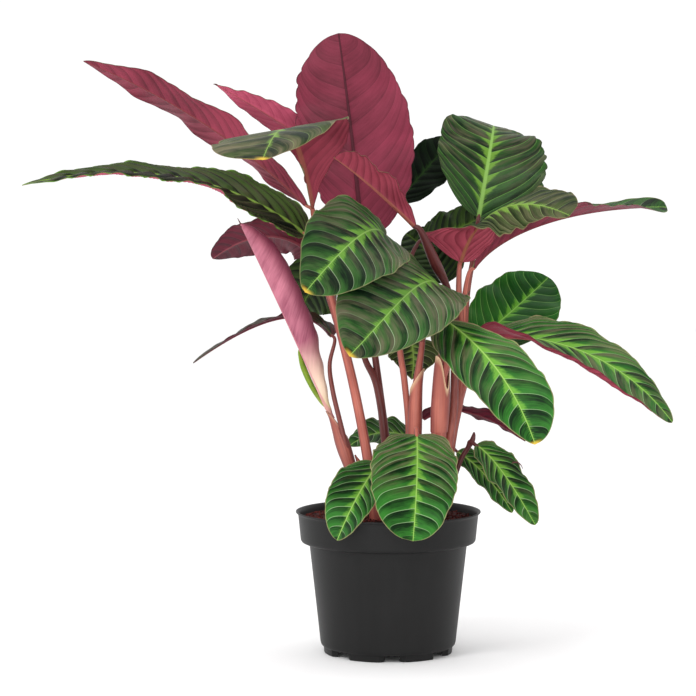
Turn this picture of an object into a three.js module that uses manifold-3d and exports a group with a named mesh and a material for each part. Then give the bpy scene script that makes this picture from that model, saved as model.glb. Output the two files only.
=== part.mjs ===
// Potted calathea in a round nursery pot. Millimetres, +Z up, front towards -Y.
// The origin is the middle of the pot's underside, on the table.
import * as THREE from "three";
import { mergeVertices } from "three/addons/utils/BufferGeometryUtils.js";
import Module from "manifold-3d";

const wasm = await Module();
wasm.setup();

// Pot
const LIP_R = 94.8;
const LIP_Z = 145.6;
const BAND_TOP_R = 92.4;
const BAND_TOP_Z = 141.2;
const BAND_LOW_R = 90;
const BAND_LOW_Z = 117;
const SHOULDER_R = 81;
const SHOULDER_Z = 112;
const BODY_LOW_R = 69.6;
const BODY_LOW_Z = 11.5;
const FOOT_R = 66.4;
const FOOT_IN_R = 61.4;
const FOOT_H = 6;
const UNDER_Z = 8;
const LAND_R = 20;
const WALL = 1.6;
const FLOOR_TOP = 10;
const NOTCHES = 7;
const NOTCH_TURN = 3;
const NOTCH_W = 36;
const NOTCH_IN_W = 18;
const NOTCH_LEAN = 1.5;
const NOTCH_H = 7;
const DRAIN_R = 5;
const DRAIN_PITCH_R = 47;
const POT_SIDES = 42;

// Soil
const SOIL_Z = 137;
const SOIL_GAP = 0.35;
const SOIL_SIDES = 28;
const HOLE_GAP = 0.5;
const FOOT_GAP = 0.9;

// Leaves and stalks
const THICK = 0.8;
const STALK_SIDES = 6;
const RINGS = 2;
const RUN_IN = 7;
const JOIN_GAP = 0.4;

// Each leaf has a rib from base to tip, hints for the way its upper face looks, the half widths
// and the outline exponents of its left and right sides, the lift of each side in degrees, and its
// waves. Half widths and lifts may run from base to tip at equal steps.
const LEAVES = {
  back_tall: {
    rib: [[-27, 10, 423], [-36, 25, 518], [-51, 40, 635]],
    up: [[0.1, 1, 0.1]], half: [63, 59], shape: [[0.6, 0.55], [0.85, 0.5]],
    fold: [8, 8], wave: [4, 4, 0], grid: [13, 7], skin: "under",
  },
  left_spear: {
    rib: [[-82, 20, 457], [-190, 60, 543], [-321, 110, 610]],
    up: [[0.35, 0.5, 0.75]], half: [26, 29], shape: [[0.8, 0.8], [0.8, 0.8]],
    fold: [20, 0], wave: [4, 3, 0], grid: [11, 5], skin: "under",
  },
  left_small: {
    rib: [[-62, 72, 512], [-124, 54, 552], [-177, 22, 582]],
    up: [[0.4, 0.8, 0.45]], half: [20, 18], shape: [[0.5, 1], [0.5, 1]],
    fold: [5, 5], wave: [1, 2, 0], grid: [10, 5], skin: "under",
  },
  left_arched: {
    rib: [[-77, -10, 453], [-92, -35, 540], [-104, -125, 556], [-122, -185, 503]],
    up: [[0, 0.9, 0.4], [-0.42, -0.1, 0.9], [-0.25, -0.7, 0.7]],
    half: [[50, 50, 60, 75, 72, 66, 61, 59, 54, 38, 20],
      [64, 64, 64, 64, 64, 70, 84, 78, 66, 57, 50]],
    shape: [[1, 0.5], [2.5, 0.25]], fold: [-10, [-4, -4, 0, 8, 8, 4]],
    grid: [13, 7],
  },
  centre_twisted: {
    rib: [[27, -50, 437], [-18, -66, 478], [-55, -84, 506]],
    up: [[0.4, 0.7, 0.5]], half: [[24, 24, 24, 20, 21, 28], 24], shape: [[0.8, 0.5], [0.6, 0.7]],
    fold: [20, 60], grid: [10, 5], skin: "under",
  },
  left_long: {
    rib: [[-85, -20, 429], [-208, -60, 486], [-358, -120, 479]],
    up: [[0.1, -0.7, 0.7], [0.1, -0.32, 0.93], [0.1, -0.25, 0.95]],
    half: [34, 38], shape: [[0.45, 0.8], [0.3, 0.8]], fold: [10, 0], grid: [13, 7],
  },
  left_low: {
    rib: [[-83, 20, 413], [-130, 50, 426], [-185, 110, 401]],
    up: [[0, 0.8, 0.6]], half: [22, 32], shape: [[0.4, 0.5], [0.4, 0.5]],
    grid: [10, 5], skin: "under",
  },
  left_rolled: {
    rib: [[-57, 0, 240], [-101, 0, 336], [-151, 10, 439]],
    up: [[0.95, 0.3, 0.4]], half: [39, 34], shape: [[1.3, 0.65], [1.3, 0.65]],
    fold: [5, 5], curl: 165, wave: [0, 1, 0], grid: [11, 13], skin: "under",
  },
  centre_upper: {
    rib: [[-3, -30, 425], [-14, -85, 452], [-45, -130, 420], [-82, -170, 377]],
    up: [[0.6, 0.3, 0.7], [0.3, -0.6, 0.7], [0.4, -0.8, 0.5]],
    half: [53, [8, 11, 19, 31, 49, 52, 56, 59, 56, 49, 44]],
    shape: [[0.5, 0.6], [0.1, 0.45]], fold: [[0, -6, 0, 8, 10], [60, 30, 12, 8, 8]],
    grid: [13, 7],
  },
  centre_lower: {
    rib: [[59, -20, 366], [40, -70, 410], [8, -125, 362], [-40, -170, 316]],
    up: [[0.6, 0.3, 0.7], [0.3, -0.6, 0.7], [0.4, -0.8, 0.5]],
    half: [[40, 42, 44, 50, 54, 57, 60, 61, 60, 56, 50],
      [50, 50, 44, 44, 50, 56, 60, 63, 66, 66, 60]],
    shape: [[0.3, 0.6], [0.5, 0.5]],
    grid: [13, 7],
  },
  right_hanging: {
    rib: [[56, -50, 344], [105, -130, 298], [138, -170, 231]],
    up: [[-0.1, -0.75, 0.65]], half: [35, 40], shape: [[0.9, 0.5], [0.4, 0.7]],
    grid: [12, 7],
  },
  right_dark: {
    rib: [[92, 0, 325], [201, -40, 309], [282, -70, 243]], up: [[0.2, -0.5, 0.85]],
    half: [[34, 40, 52, 43, 38, 33, 31, 26, 22, 19, 16],
      [45, 58, 36, 34, 34, 34, 45, 45, 37, 34, 34]],
    shape: [[0.6, 0.5], [0.5, 0.5]], fold: [10, [70, 8, 5, 5]],
    grid: [12, 7],
  },
  right_broad: {
    rib: [[93, 30, 319], [134, 60, 351], [170, 85, 382]], up: [[-0.3, -0.8, 0.5]],
    half: [42, [49, 49, 52, 58, 58, 58]], shape: [[0.45, 0.5], [0.35, 0.68]],
    grid: [11, 5],
  },
  back_right: {
    rib: [[93, 20, 446], [103, 20, 505], [110, 40, 541], [111, 75, 541]],
    up: [[-0.1, -0.95, 0.3], [-0.1, -0.6, 0.7]], half: [55, 64], shape: [[0.6, 0.5], [0.48, 1.0]],
    fold: [[10, 10, 10, 10, 22, 26], [10, 10, 10, 4, -12, -20]],
    grid: [12, 7],
  },
  right_arched: {
    rib: [[74, 0, 401], [86, -25, 455], [125, -75, 475], [176, -100, 449]],
    up: [[0.1, 0.95, 0.3], [0, 0.1, 0.97], [0.1, -0.4, 0.9], [0.1, -0.4, 0.9]],
    half: [[33, 33, 33, 33, 33, 34, 33, 31, 30, 38, 34],
      [25, 62, 26, 14, 16, 28, 30, 29, 26, 20, 18]], shape: [[0.35, 0.22], [0.3, 0.4]],
    fold: [[10, 12, 12, 22], [0, 0, 0, -26, -60, -66, -66, -60, -50, -35, -20]],
    grid: [13, 7],
  },
  right_long: {
    rib: [[86, 13, 393], [106, 24, 424], [177, 44, 458], [291, 60, 456]],
    up: [[-0.4, 0.2, 0.9], [-0.4, 0.1, 0.9], [-0.3, 0.1, 0.9], [-0.3, 0, 0.9],
      [-0.3, 0, 0.9], [-0.3, -0.1, 0.9], [-0.3, -0.2, 0.9], [-0.3, -0.7, 0.7]],
    half: [26, [14, 16, 20, 24, 30, 34, 34, 34, 38, 42, 44]], shape: [[1.2, 0.4], [0.6, 0.4]],
    fold: [5, [25, 50, 42, 24, 20, 20]],
    grid: [11, 5], skin: "under",
  },
  back_striped: {
    rib: [[38, 50, 421], [72, 66, 433], [112, 84, 452]],
    up: [[0, -0.8, 0.6]], half: [24, 24], grid: [9, 5],
  },
  back_striped_low: {
    rib: [[60, 58, 377], [46, 76, 404], [20, 98, 428]],
    up: [[0, -0.85, 0.5]], half: [32, 32], grid: [9, 5],
  },
  back_dark: {
    rib: [[11, 90, 461], [41, 120, 495], [71, 150, 528]],
    up: [[0, -0.9, 0.4]], half: [26, 26], shape: [[0.5, 0.5], [0.5, 0.5]], grid: [9, 5],
  },
  left_thin: {
    rib: [[-58, 6, 325], [-111, 32, 342], [-201, 20, 296]],
    up: [[0, 0.1, 1]], half: [10, 24], grid: [10, 5],
  },
  back_shaded: {
    rib: [[-44, 50, 401], [-72, 75, 378], [-92, 90, 347]],
    up: [[0, -0.85, 0.5]], half: [40, 36], grid: [9, 5],
  },
  back_drooping: {
    rib: [[25, 60, 317], [27, 55, 297], [25, 45, 277]],
    up: [[0, -0.9, 0.4]], half: [27, 27], shape: [[0.5, 1], [0.5, 1]], grid: [9, 5],
  },
  young_back: {
    rib: [[32, 70, 210], [-5, 60, 220], [-40, 50, 207]],
    up: [[0, -0.6, 0.8]], half: [20, 20], grid: [9, 5],
  },
  young_right: {
    rib: [[37, 60, 235], [85, 60, 242], [144, 50, 212]],
    up: [[0, 0.5, 0.85]], half: [14, 15], shape: [[0.25, 0.6], [0.25, 0.6]], grid: [10, 5],
  },
  rim_front: {
    rib: [[28, -45, 228], [27, -90, 190], [22, -135, 133]],
    up: [[0, -0.8, 0.6]], half: [41, 47], shape: [[0.4, 0.42], [0.4, 0.4]], grid: [12, 7],
  },
  rim_left: {
    rib: [[-10, -35, 198], [-32, -75, 169], [-52, -95, 128]],
    up: [[-0.1, -0.85, 0.5]], half: [21, 30], shape: [[0.5, 0.6], [0.5, 0.6]], grid: [10, 5],
  },
  rim_right: {
    rib: [[90, 0, 213], [116, -15, 187], [148, -40, 136]],
    up: [[0.3, -0.7, 0.6]], half: [21, 21], shape: [[0.5, 0.5], [0.5, 0.5]], grid: [10, 5],
  },
  rim_right_small: {
    rib: [[72, 30, 203], [101, 20, 179], [128, 10, 142]],
    up: [[0.2, -0.8, 0.6]], half: [17, 15], grid: [9, 5],
  },
};

// Rows of x, y, z and radius from the soil up, fused into one body for each shoot. A stalk with
// a leaf runs on into the base of that leaf's rib.
const SHOOTS = {
  shoot_left: {
    colour: 0xc98a78,
    stalks: [
      { rows: [[-28, -3, 124, 6.5], [-38, -4, 188, 5.6], [-46, -3, 212, 6.6], [-51, -2, 227, 5]],
        leaf: "left_rolled", end: 2 },
      { rows: [[-40, -7, 200, 2.8], [-49, -8, 236, 2.6], [-57, -6, 270, 2.5], [-60, 0, 296, 2.2]],
        leaf: "left_thin", end: 1.6 },
      { rows: [[-23, -1, 124, 3], [-28, 0, 185, 3.2], [-34, 0, 203, 0.8]] },
    ],
  },
  shoot_front: {
    colour: 0xcc8b79,
    stalks: [
      { rows: [[-10, -10, 124, 8], [-21, -10, 199, 5.4], [-37, -10, 281, 4.8],
        [-59, -10, 369, 4], [-70, -12, 423, 3.4]], leaf: "left_arched", end: 2.5 },
      { rows: [[-41, -8, 300, 3.5], [-60, 4, 375, 3.2], [-74, 12, 430, 2.6]],
        leaf: "left_spear", end: 1.8 },
      { rows: [[-46, -11, 318, 3.5], [-64, -16, 385, 3.2]], leaf: "left_long", end: 2 },
      { rows: [[-47, -9, 320, 3.5], [-64, 6, 375, 3]], leaf: "left_low", end: 1.8 },
      { rows: [[-9, -16, 124, 3.2], [-6, -30, 170, 2.6]], leaf: "rim_left", end: 1.8 },
    ],
  },
  shoot_back: {
    colour: 0x54332c,
    stalks: [
      { rows: [[8, 32, 124, 6.5], [-5, 30, 236, 4.6], [-13, 36, 300, 3.6], [-22, 24, 360, 3.2]],
        leaf: "back_tall", end: 2.6 },
      { rows: [[0, 29, 200, 4], [-11, 31, 270, 4], [-24, 35, 300, 3.2], [-38, 36, 350, 2.8],
        [-49, 36, 400, 2.6], [-59, 48, 450, 2.3]], leaf: "left_small", end: 1.6 },
      { rows: [[-24, 35, 300, 2.5], [-36, 48, 350, 2.3]], leaf: "back_shaded", end: 1.6 },
      { rows: [[-13, 37, 300, 2.8], [-17, 55, 330, 2.6], [-18, 75, 394, 2.4], [-10, 85, 436, 2.2]],
        leaf: "back_dark", end: 1.6 },
      { rows: [[14, 34, 124, 3.2], [40, 64, 180, 2.5]], leaf: "young_back", end: 1.6 },
    ],
  },
  shoot_centre: {
    colour: 0xcf8d7b,
    stalks: [
      { rows: [[22, 4, 124, 6], [21.5, 4, 218, 3.6], [17, 6, 275, 3.4], [12, 10, 310, 3.2],
        [6, 6, 370, 2.9]], leaf: "centre_upper", end: 2.2 },
      { rows: [[26, -2, 124, 7.4], [26.5, -2, 218, 6.6], [27.5, -3, 250, 5.6], [29, -4, 275, 4.5],
        [35, 0, 319, 2.8]] },
      { rows: [[34, -1, 310, 2.6], [31, 16, 352, 2.5], [23, 34, 396, 2.3]],
        leaf: "back_striped", end: 1.8 },
      { rows: [[34, 0, 316, 2.4], [46, 30, 350, 2.2]], leaf: "back_striped_low", end: 1.6 },
      { rows: [[24, 6, 210, 2.6], [30, 56, 262, 2.2], [27, 71, 304, 2]],
        leaf: "back_drooping", end: 1.5 },
      { rows: [[23, -7, 124, 4], [30, -36, 190, 3]], leaf: "rim_front", end: 2.2 },
    ],
  },
  shoot_right: {
    colour: 0xcb8c79,
    stalks: [
      { rows: [[46, -10, 124, 9], [51, -15, 222, 8], [53, -15, 261, 8], [54, -18, 291, 6.5],
        [60, -20, 335, 4.2]], leaf: "centre_lower", end: 2.6 },
      { rows: [[54, -18, 280, 4.5], [60, -28, 308, 3.6]], leaf: "right_hanging", end: 2.2 },
      { rows: [[50, -5, 124, 7], [62, -6, 217, 4.6], [67, -4, 255, 4.4], [67, -8, 310, 3.4]] },
      { rows: [[67, -7, 298, 3.2], [68, -6, 345, 3.3], [60, -8, 374, 3.4], [47, -29, 400, 5.6]],
        leaf: "centre_twisted", end: 2.4 },
      { rows: [[52, 4, 124, 6.5], [66, 12, 217, 4.4], [74, 13, 262, 4.4], [77, 6, 310, 3.6],
        [72, -3, 365, 3.2]], leaf: "right_arched", end: 2.2 },
      { rows: [[77, 7, 300, 3.2], [77, 2, 355, 3]], leaf: "right_long", end: 2 },
      { rows: [[77, 9, 296, 3.2], [81, 18, 364, 3], [88, 30, 405, 2.6]],
        leaf: "back_right", end: 2 },
      { rows: [[74, 14, 255, 3], [84, 24, 290, 2.6]], leaf: "right_broad", end: 1.8 },
      { rows: [[75, 12, 262, 3], [86, 6, 300, 2.8]], leaf: "right_dark", end: 1.8 },
      { rows: [[50, 6, 124, 3.5], [67, 5, 176, 2.8], [75, 5, 198, 2.5], [82, 5, 210, 2.6]],
        leaf: "rim_right", end: 2 },
      { rows: [[64, 8, 160, 2.5], [70, 20, 185, 2]], leaf: "rim_right_small", end: 1.6 },
      { rows: [[50, 10, 124, 3.2], [44, 50, 180, 2.5]], leaf: "young_right", end: 1.6 },
    ],
  },
};

const SKINS = {
  upper: { color: 0x4f6b2f, roughness: 0.5, metalness: 0 },
  under: { color: 0x8c4a58, roughness: 0.55, metalness: 0 },
};

function vector(p) {
  return new THREE.Vector3(p[0], p[1], p[2]);
}

function mix(a, b, t) {
  return a + (b - a) * t;
}

// Position and direction on a rib. Three points are base, middle and tip on the curve. Four are
// the control points of a cubic.
function onRib(rib, t) {
  const p = rib.map(vector);
  const curve = p.length === 4
    ? new THREE.CubicBezierCurve3(p[0], p[1], p[2], p[3])
    : new THREE.QuadraticBezierCurve3(
      p[0],
      p[1].clone().multiplyScalar(2).addScaledVector(p[0], -0.5).addScaledVector(p[2], -0.5),
      p[2],
    );
  const at = curve.getPoint(t);
  const ahead = curve.getPoint(Math.min(1, t + 0.001));
  const behind = curve.getPoint(Math.max(0, t - 0.001));
  return { at, along: ahead.sub(behind).normalize() };
}

function hintAt(up, t) {
  if (up.length === 1) {
    return vector(up[0]);
  }
  const place = t * (up.length - 1);
  const k = Math.min(up.length - 2, Math.floor(place));
  return vector(up[k]).lerp(vector(up[k + 1]), place - k);
}

// A value at length t from one number, or from several at equal steps.
function stepped(values, t) {
  const list = [values].flat();
  const place = t * (list.length - 1);
  const k = Math.max(0, Math.min(list.length - 2, Math.floor(place)));
  return mix(list[k], list[k + 1] ?? list[k], place - k);
}

// A point of the upper face at length t from base to tip and side s from -1 to 1.
function bladePoint(leaf, t, s) {
  const { at, along } = onRib(leaf.rib, t);
  const normal = hintAt(leaf.up, t);
  normal.addScaledVector(along, -normal.dot(along)).normalize();
  const across = along.clone().cross(normal);
  const side = s < 0 ? 0 : 1;
  const w = Math.abs(s);
  const [rise, fall] = (leaf.shape ?? [[0.5, 0.6], [0.5, 0.6]])[side];
  const top = rise / (rise + fall);
  const peak = top ** rise * (1 - top) ** fall;
  const half = Math.max(
    stepped(leaf.half[side], t) * t ** rise * (1 - t) ** fall / peak,
    1.5 * (1 - t) + 0.4 * t,
  );
  const fold = THREE.MathUtils.degToRad(stepped((leaf.fold ?? [10, 10])[side], t));
  const curl = THREE.MathUtils.degToRad(leaf.curl ?? 0);
  let x = Math.cos(fold) * w;
  let y = Math.sin(fold) * w;
  if (curl > 0) {
    x = (Math.sin(fold + curl * w) - Math.sin(fold)) / curl;
    y = (Math.cos(fold) - Math.cos(fold + curl * w)) / curl;
  }
  const [size, count, phase] = leaf.wave ?? [3, 3, 0];
  const wave = size * w * w * Math.sin(2 * Math.PI * count * t + phase + side * 1.9)
    * Math.min(1, 4 * t * (1 - t) + 0.2) * Math.min(1, half / Math.max(...leaf.half.flat()));
  return at
    .addScaledVector(across, Math.sign(s) * half * x)
    .addScaledVector(normal, half * y + wave);
}

// A closed thin body below a grid of points, with the same triangles on both faces.
function sheet(grid, thickness) {
  const rows = grid.length;
  const columns = grid[0].length;
  const positions = [];
  const lower = [];
  for (let i = 0; i < rows; i += 1) {
    for (let j = 0; j < columns; j += 1) {
      const along = grid[Math.min(rows - 1, i + 1)][j].clone().sub(grid[Math.max(0, i - 1)][j]);
      const across = grid[i][Math.min(columns - 1, j + 1)].clone()
        .sub(grid[i][Math.max(0, j - 1)]);
      const normal = across.cross(along).normalize();
      const p = grid[i][j];
      positions.push(p.x, p.y, p.z);
      lower.push(...p.clone().addScaledVector(normal, -thickness).toArray());
    }
  }
  positions.push(...lower);
  const under = rows * columns;
  const index = [];
  for (let i = 0; i < rows - 1; i += 1) {
    for (let j = 0; j < columns - 1; j += 1) {
      const a = i * columns + j;
      const b = a + 1;
      const c = a + columns;
      const d = c + 1;
      index.push(a, b, c, b, d, c);
      index.push(under + a, under + c, under + b, under + b, under + c, under + d);
    }
  }
  const edge = [];
  for (let j = 0; j < columns - 1; j += 1) {
    edge.push(j);
  }
  for (let i = 0; i < rows - 1; i += 1) {
    edge.push(i * columns + columns - 1);
  }
  for (let j = columns - 1; j > 0; j -= 1) {
    edge.push((rows - 1) * columns + j);
  }
  for (let i = rows - 1; i > 0; i -= 1) {
    edge.push(i * columns);
  }
  edge.forEach((u, k) => {
    const v = edge[(k + 1) % edge.length];
    index.push(v, u, under + u, v, under + u, under + v);
  });
  const geometry = new THREE.BufferGeometry();
  geometry.setAttribute("position", new THREE.Float32BufferAttribute(positions, 3));
  geometry.setIndex(index);
  return geometry;
}

function blade(leaf) {
  const [rows, columns] = leaf.grid;
  const grid = [];
  for (let i = 0; i < rows; i += 1) {
    const u = i / (rows - 1);
    const t = mix(u, (1 - Math.cos(Math.PI * u)) / 2, 0.45);
    const row = [];
    for (let j = 0; j < columns; j += 1) {
      row.push(bladePoint(leaf, t, 2 * j / (columns - 1) - 1));
    }
    grid.push(row);
  }
  return sheet(grid, THICK);
}

// A closed round body along rows of x, y, z and radius, smoothed between the rows. Its first ring
// is level where it stands in the soil, and its last ring is square to the direction given.
function tube(rows, extra, aim) {
  const points = rows.map((row) => new THREE.Vector4(...row));
  const first = points[0].clone().multiplyScalar(2).sub(points[1]);
  const last = points.at(-1).clone().multiplyScalar(2).sub(points.at(-2));
  const all = [first, ...points, last];
  const rings = [];
  for (let i = 1; i < all.length - 2; i += 1) {
    for (let k = 0; k < RINGS; k += 1) {
      const u = k / RINGS;
      const ring = new THREE.Vector4(0, 0, 0, 0);
      ring.addScaledVector(all[i - 1], 0.5 * (-u + 2 * u * u - u ** 3));
      ring.addScaledVector(all[i], 0.5 * (2 - 5 * u * u + 3 * u ** 3));
      ring.addScaledVector(all[i + 1], 0.5 * (u + 4 * u * u - 3 * u ** 3));
      ring.addScaledVector(all[i + 2], 0.5 * (u ** 3 - u * u));
      rings.push(ring);
    }
  }
  rings.push(points.at(-1));
  const positions = [];
  const index = [];
  const side = new THREE.Vector3(1, 0, 0);
  rings.forEach((ring, i) => {
    const ahead = rings[Math.min(rings.length - 1, i + 1)];
    const behind = rings[Math.max(0, i - 1)];
    const along = new THREE.Vector3(ahead.x - behind.x, ahead.y - behind.y, ahead.z - behind.z);
    along.normalize();
    if (i === 0 && ring.z < SOIL_Z) {
      along.set(0, 0, 1);
    }
    if (aim && i === rings.length - 1) {
      along.copy(aim);
    }
    side.addScaledVector(along, -side.dot(along)).normalize();
    const other = along.clone().cross(side);
    for (let k = 0; k < STALK_SIDES; k += 1) {
      const turn = 2 * Math.PI * k / STALK_SIDES;
      const r = ring.w + extra;
      const p = new THREE.Vector3(ring.x, ring.y, ring.z)
        .addScaledVector(side, r * Math.cos(turn))
        .addScaledVector(other, r * Math.sin(turn));
      positions.push(p.x, p.y, p.z);
      if (i > 0) {
        const a = (i - 1) * STALK_SIDES + k;
        const b = (i - 1) * STALK_SIDES + (k + 1) % STALK_SIDES;
        index.push(a, b, b + STALK_SIDES, a, b + STALK_SIDES, a + STALK_SIDES);
      }
    }
  });
  const end = (rings.length - 1) * STALK_SIDES;
  for (let k = 1; k < STALK_SIDES - 1; k += 1) {
    index.push(0, k + 1, k, end, end + k, end + k + 1);
  }
  const geometry = new THREE.BufferGeometry();
  geometry.setAttribute("position", new THREE.Float32BufferAttribute(positions, 3));
  geometry.setIndex(index);
  return geometry;
}

function stalkTube(stalk, extra) {
  if (!stalk.leaf) {
    return tube(stalk.rows, extra, null);
  }
  const { at, along } = onRib(LEAVES[stalk.leaf].rib, 0);
  const before = at.clone().addScaledVector(along, -RUN_IN);
  const last = at.clone().addScaledVector(along, -JOIN_GAP);
  const size = mix(stalk.rows.at(-1)[3], stalk.end, 0.7);
  const rows = [...stalk.rows, [...before.toArray(), size], [...last.toArray(), stalk.end]];
  return tube(rows, extra, along);
}

function toSolid(source) {
  const bare = source.clone();
  bare.deleteAttribute("normal");
  bare.deleteAttribute("uv");
  const merged = mergeVertices(bare, 1e-4);
  const index = merged.index.array;
  const kept = [];
  for (let i = 0; i < index.length; i += 3) {
    const [a, b, c] = [index[i], index[i + 1], index[i + 2]];
    if (a !== b && b !== c && c !== a) {
      kept.push(a, b, c);
    }
  }
  return new wasm.Manifold(new wasm.Mesh({
    numProp: 3,
    vertProperties: new Float32Array(merged.attributes.position.array),
    triVerts: new Uint32Array(kept),
  }));
}

function fromSolid(solid) {
  const mesh = solid.getMesh();
  const geometry = new THREE.BufferGeometry();
  const positions = new THREE.Float32BufferAttribute(mesh.vertProperties, 3);
  geometry.setAttribute("position", positions);
  geometry.setIndex(Array.from(mesh.triVerts));
  return geometry;
}

// A solid of revolution about Z from points of radius and height, running from the axis below
// round the outside to the axis above.
function turned(profile, sides) {
  const points = profile.map(([r, z]) => new THREE.Vector2(r, z));
  return new THREE.LatheGeometry(points, sides).rotateX(Math.PI / 2);
}

function potProfile() {
  return [
    [0, 0],
    [LAND_R, 0],
    [LAND_R + 0.4, UNDER_Z],
    [FOOT_IN_R, UNDER_Z],
    [FOOT_IN_R + 0.4, 0],
    [FOOT_R - 0.6, 0],
    [FOOT_R, FOOT_H],
    [BODY_LOW_R - 0.6, FOOT_H + 2],
    [BODY_LOW_R, BODY_LOW_Z],
    [SHOULDER_R, SHOULDER_Z],
    [BAND_LOW_R - 2.2, SHOULDER_Z + 1.6],
    [BAND_LOW_R - 0.5, SHOULDER_Z + 2.8],
    [BAND_LOW_R, BAND_LOW_Z],
    [BAND_TOP_R, BAND_TOP_Z],
    [BAND_TOP_R + 1.1, BAND_TOP_Z + 2],
    [LIP_R, LIP_Z - 1.6],
    [LIP_R, LIP_Z - 0.4],
    [LIP_R - 0.4, LIP_Z],
    [LIP_R - 2.4, LIP_Z - 0.6],
    [BAND_TOP_R - WALL, BAND_TOP_Z],
    [BAND_LOW_R - WALL, BAND_LOW_Z + 1.2],
    [SHOULDER_R - WALL, SHOULDER_Z + 2.2],
    [BODY_LOW_R - WALL, BODY_LOW_Z + 2],
    [FOOT_R - WALL, FLOOR_TOP],
    [0, FLOOR_TOP],
  ];
}

// A wedge that narrows towards the pot's axis and, a little, upwards.
function notchCutter(turn) {
  const geometry = new THREE.BoxGeometry(1, 1, 2 * NOTCH_H);
  const taper = (NOTCH_W - NOTCH_IN_W) / (FOOT_R - FOOT_IN_R);
  const places = geometry.attributes.position;
  for (let i = 0; i < places.count; i += 1) {
    const depth = places.getY(i) < 0 ? FOOT_R + 3 : FOOT_IN_R - 3.4;
    const lean = places.getZ(i) < 0 ? 0 : NOTCH_LEAN;
    const half = (NOTCH_IN_W + taper * (depth - FOOT_IN_R)) / 2 - lean;
    places.setX(i, Math.sign(places.getX(i)) * half);
    places.setY(i, -depth);
  }
  return geometry.rotateZ(turn);
}

function drainCutter(turn) {
  const geometry = new THREE.CylinderGeometry(DRAIN_R, DRAIN_R, 8, 16).rotateX(Math.PI / 2);
  geometry.translate(0, -DRAIN_PITCH_R, FLOOR_TOP - 1);
  return geometry.rotateZ(turn);
}

function makePot() {
  let pot = toSolid(turned(potProfile(), POT_SIDES));
  for (let k = 0; k < NOTCHES; k += 1) {
    const turn = 2 * Math.PI * k / NOTCHES + THREE.MathUtils.degToRad(NOTCH_TURN);
    pot = pot.subtract(toSolid(notchCutter(turn)));
    pot = pot.subtract(toSolid(drainCutter(turn)));
  }
  return fromSolid(pot);
}

function soilProfile() {
  const g = SOIL_GAP;
  const share = (SOIL_Z - BAND_LOW_Z - 1.2) / (BAND_TOP_Z - BAND_LOW_Z - 1.2);
  const edge = mix(BAND_LOW_R, BAND_TOP_R, share) - WALL - g - 0.2;
  return [
    [0, FLOOR_TOP + g],
    [FOOT_R - WALL - g - 0.2, FLOOR_TOP + g],
    [BODY_LOW_R - WALL - g - 0.2, BODY_LOW_Z + 2],
    [SHOULDER_R - WALL - g - 0.2, SHOULDER_Z + 2.6],
    [BAND_LOW_R - WALL - 1 - g, BAND_LOW_Z + 1.4],
    [edge, SOIL_Z],
    [74, SOIL_Z + 0.6],
    [56, SOIL_Z + 0.4],
    [36, SOIL_Z + 1],
    [16, SOIL_Z + 0.7],
    [0, SOIL_Z + 1],
  ];
}

function makeSoil() {
  const geometry = turned(soilProfile(), SOIL_SIDES);
  const places = geometry.attributes.position;
  for (let i = 0; i < places.count; i += 1) {
    const r = Math.hypot(places.getX(i), places.getY(i));
    if (places.getZ(i) > SOIL_Z + 0.2 && r > 1) {
      const turn = Math.atan2(places.getY(i), places.getX(i));
      const lift = 0.9 * Math.sin(3 * turn + 0.11 * r) + 0.7 * Math.cos(7 * turn - 0.07 * r);
      places.setZ(i, places.getZ(i) + lift);
    }
  }
  let soil = toSolid(geometry);
  for (const shoot of Object.values(SHOOTS)) {
    for (const stalk of shoot.stalks) {
      if (stalk.rows[0][2] < SOIL_Z) {
        const [x, y, z, r] = stalk.rows[0];
        const foot = new THREE.CylinderGeometry(r + FOOT_GAP, r + FOOT_GAP, 2, STALK_SIDES * 2);
        foot.rotateX(Math.PI / 2).translate(x, y, z + 0.5);
        soil = soil.subtract(toSolid(foot));
        soil = soil.subtract(toSolid(stalkTube(stalk, HOLE_GAP)));
      }
    }
  }
  return fromSolid(soil);
}

function makeShoot(shoot) {
  let solid = null;
  for (const stalk of shoot.stalks) {
    const next = toSolid(stalkTube(stalk, 0));
    solid = solid ? solid.add(next) : next;
  }
  return fromSolid(solid);
}

const group = new THREE.Group();

function place(name, geometry, look) {
  const flat = geometry.toNonIndexed();
  flat.computeVertexNormals();
  const mesh = new THREE.Mesh(flat, new THREE.MeshStandardMaterial(look));
  mesh.name = name;
  group.add(mesh);
}

place("pot", makePot(), { color: 0x2b2b2c, roughness: 0.55, metalness: 0 });
place("soil", makeSoil(), { color: 0x4a3026, roughness: 0.95, metalness: 0 });
for (const [name, shoot] of Object.entries(SHOOTS)) {
  place(name, makeShoot(shoot), { color: shoot.colour, roughness: 0.5, metalness: 0 });
}
for (const [name, leaf] of Object.entries(LEAVES)) {
  place("leaf_" + name, blade(leaf), SKINS[leaf.skin ?? "upper"]);
}

export default group;
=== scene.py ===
"""A potted calathea with feathered green leaves, plum undersides and pink stalks."""
import math

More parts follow.
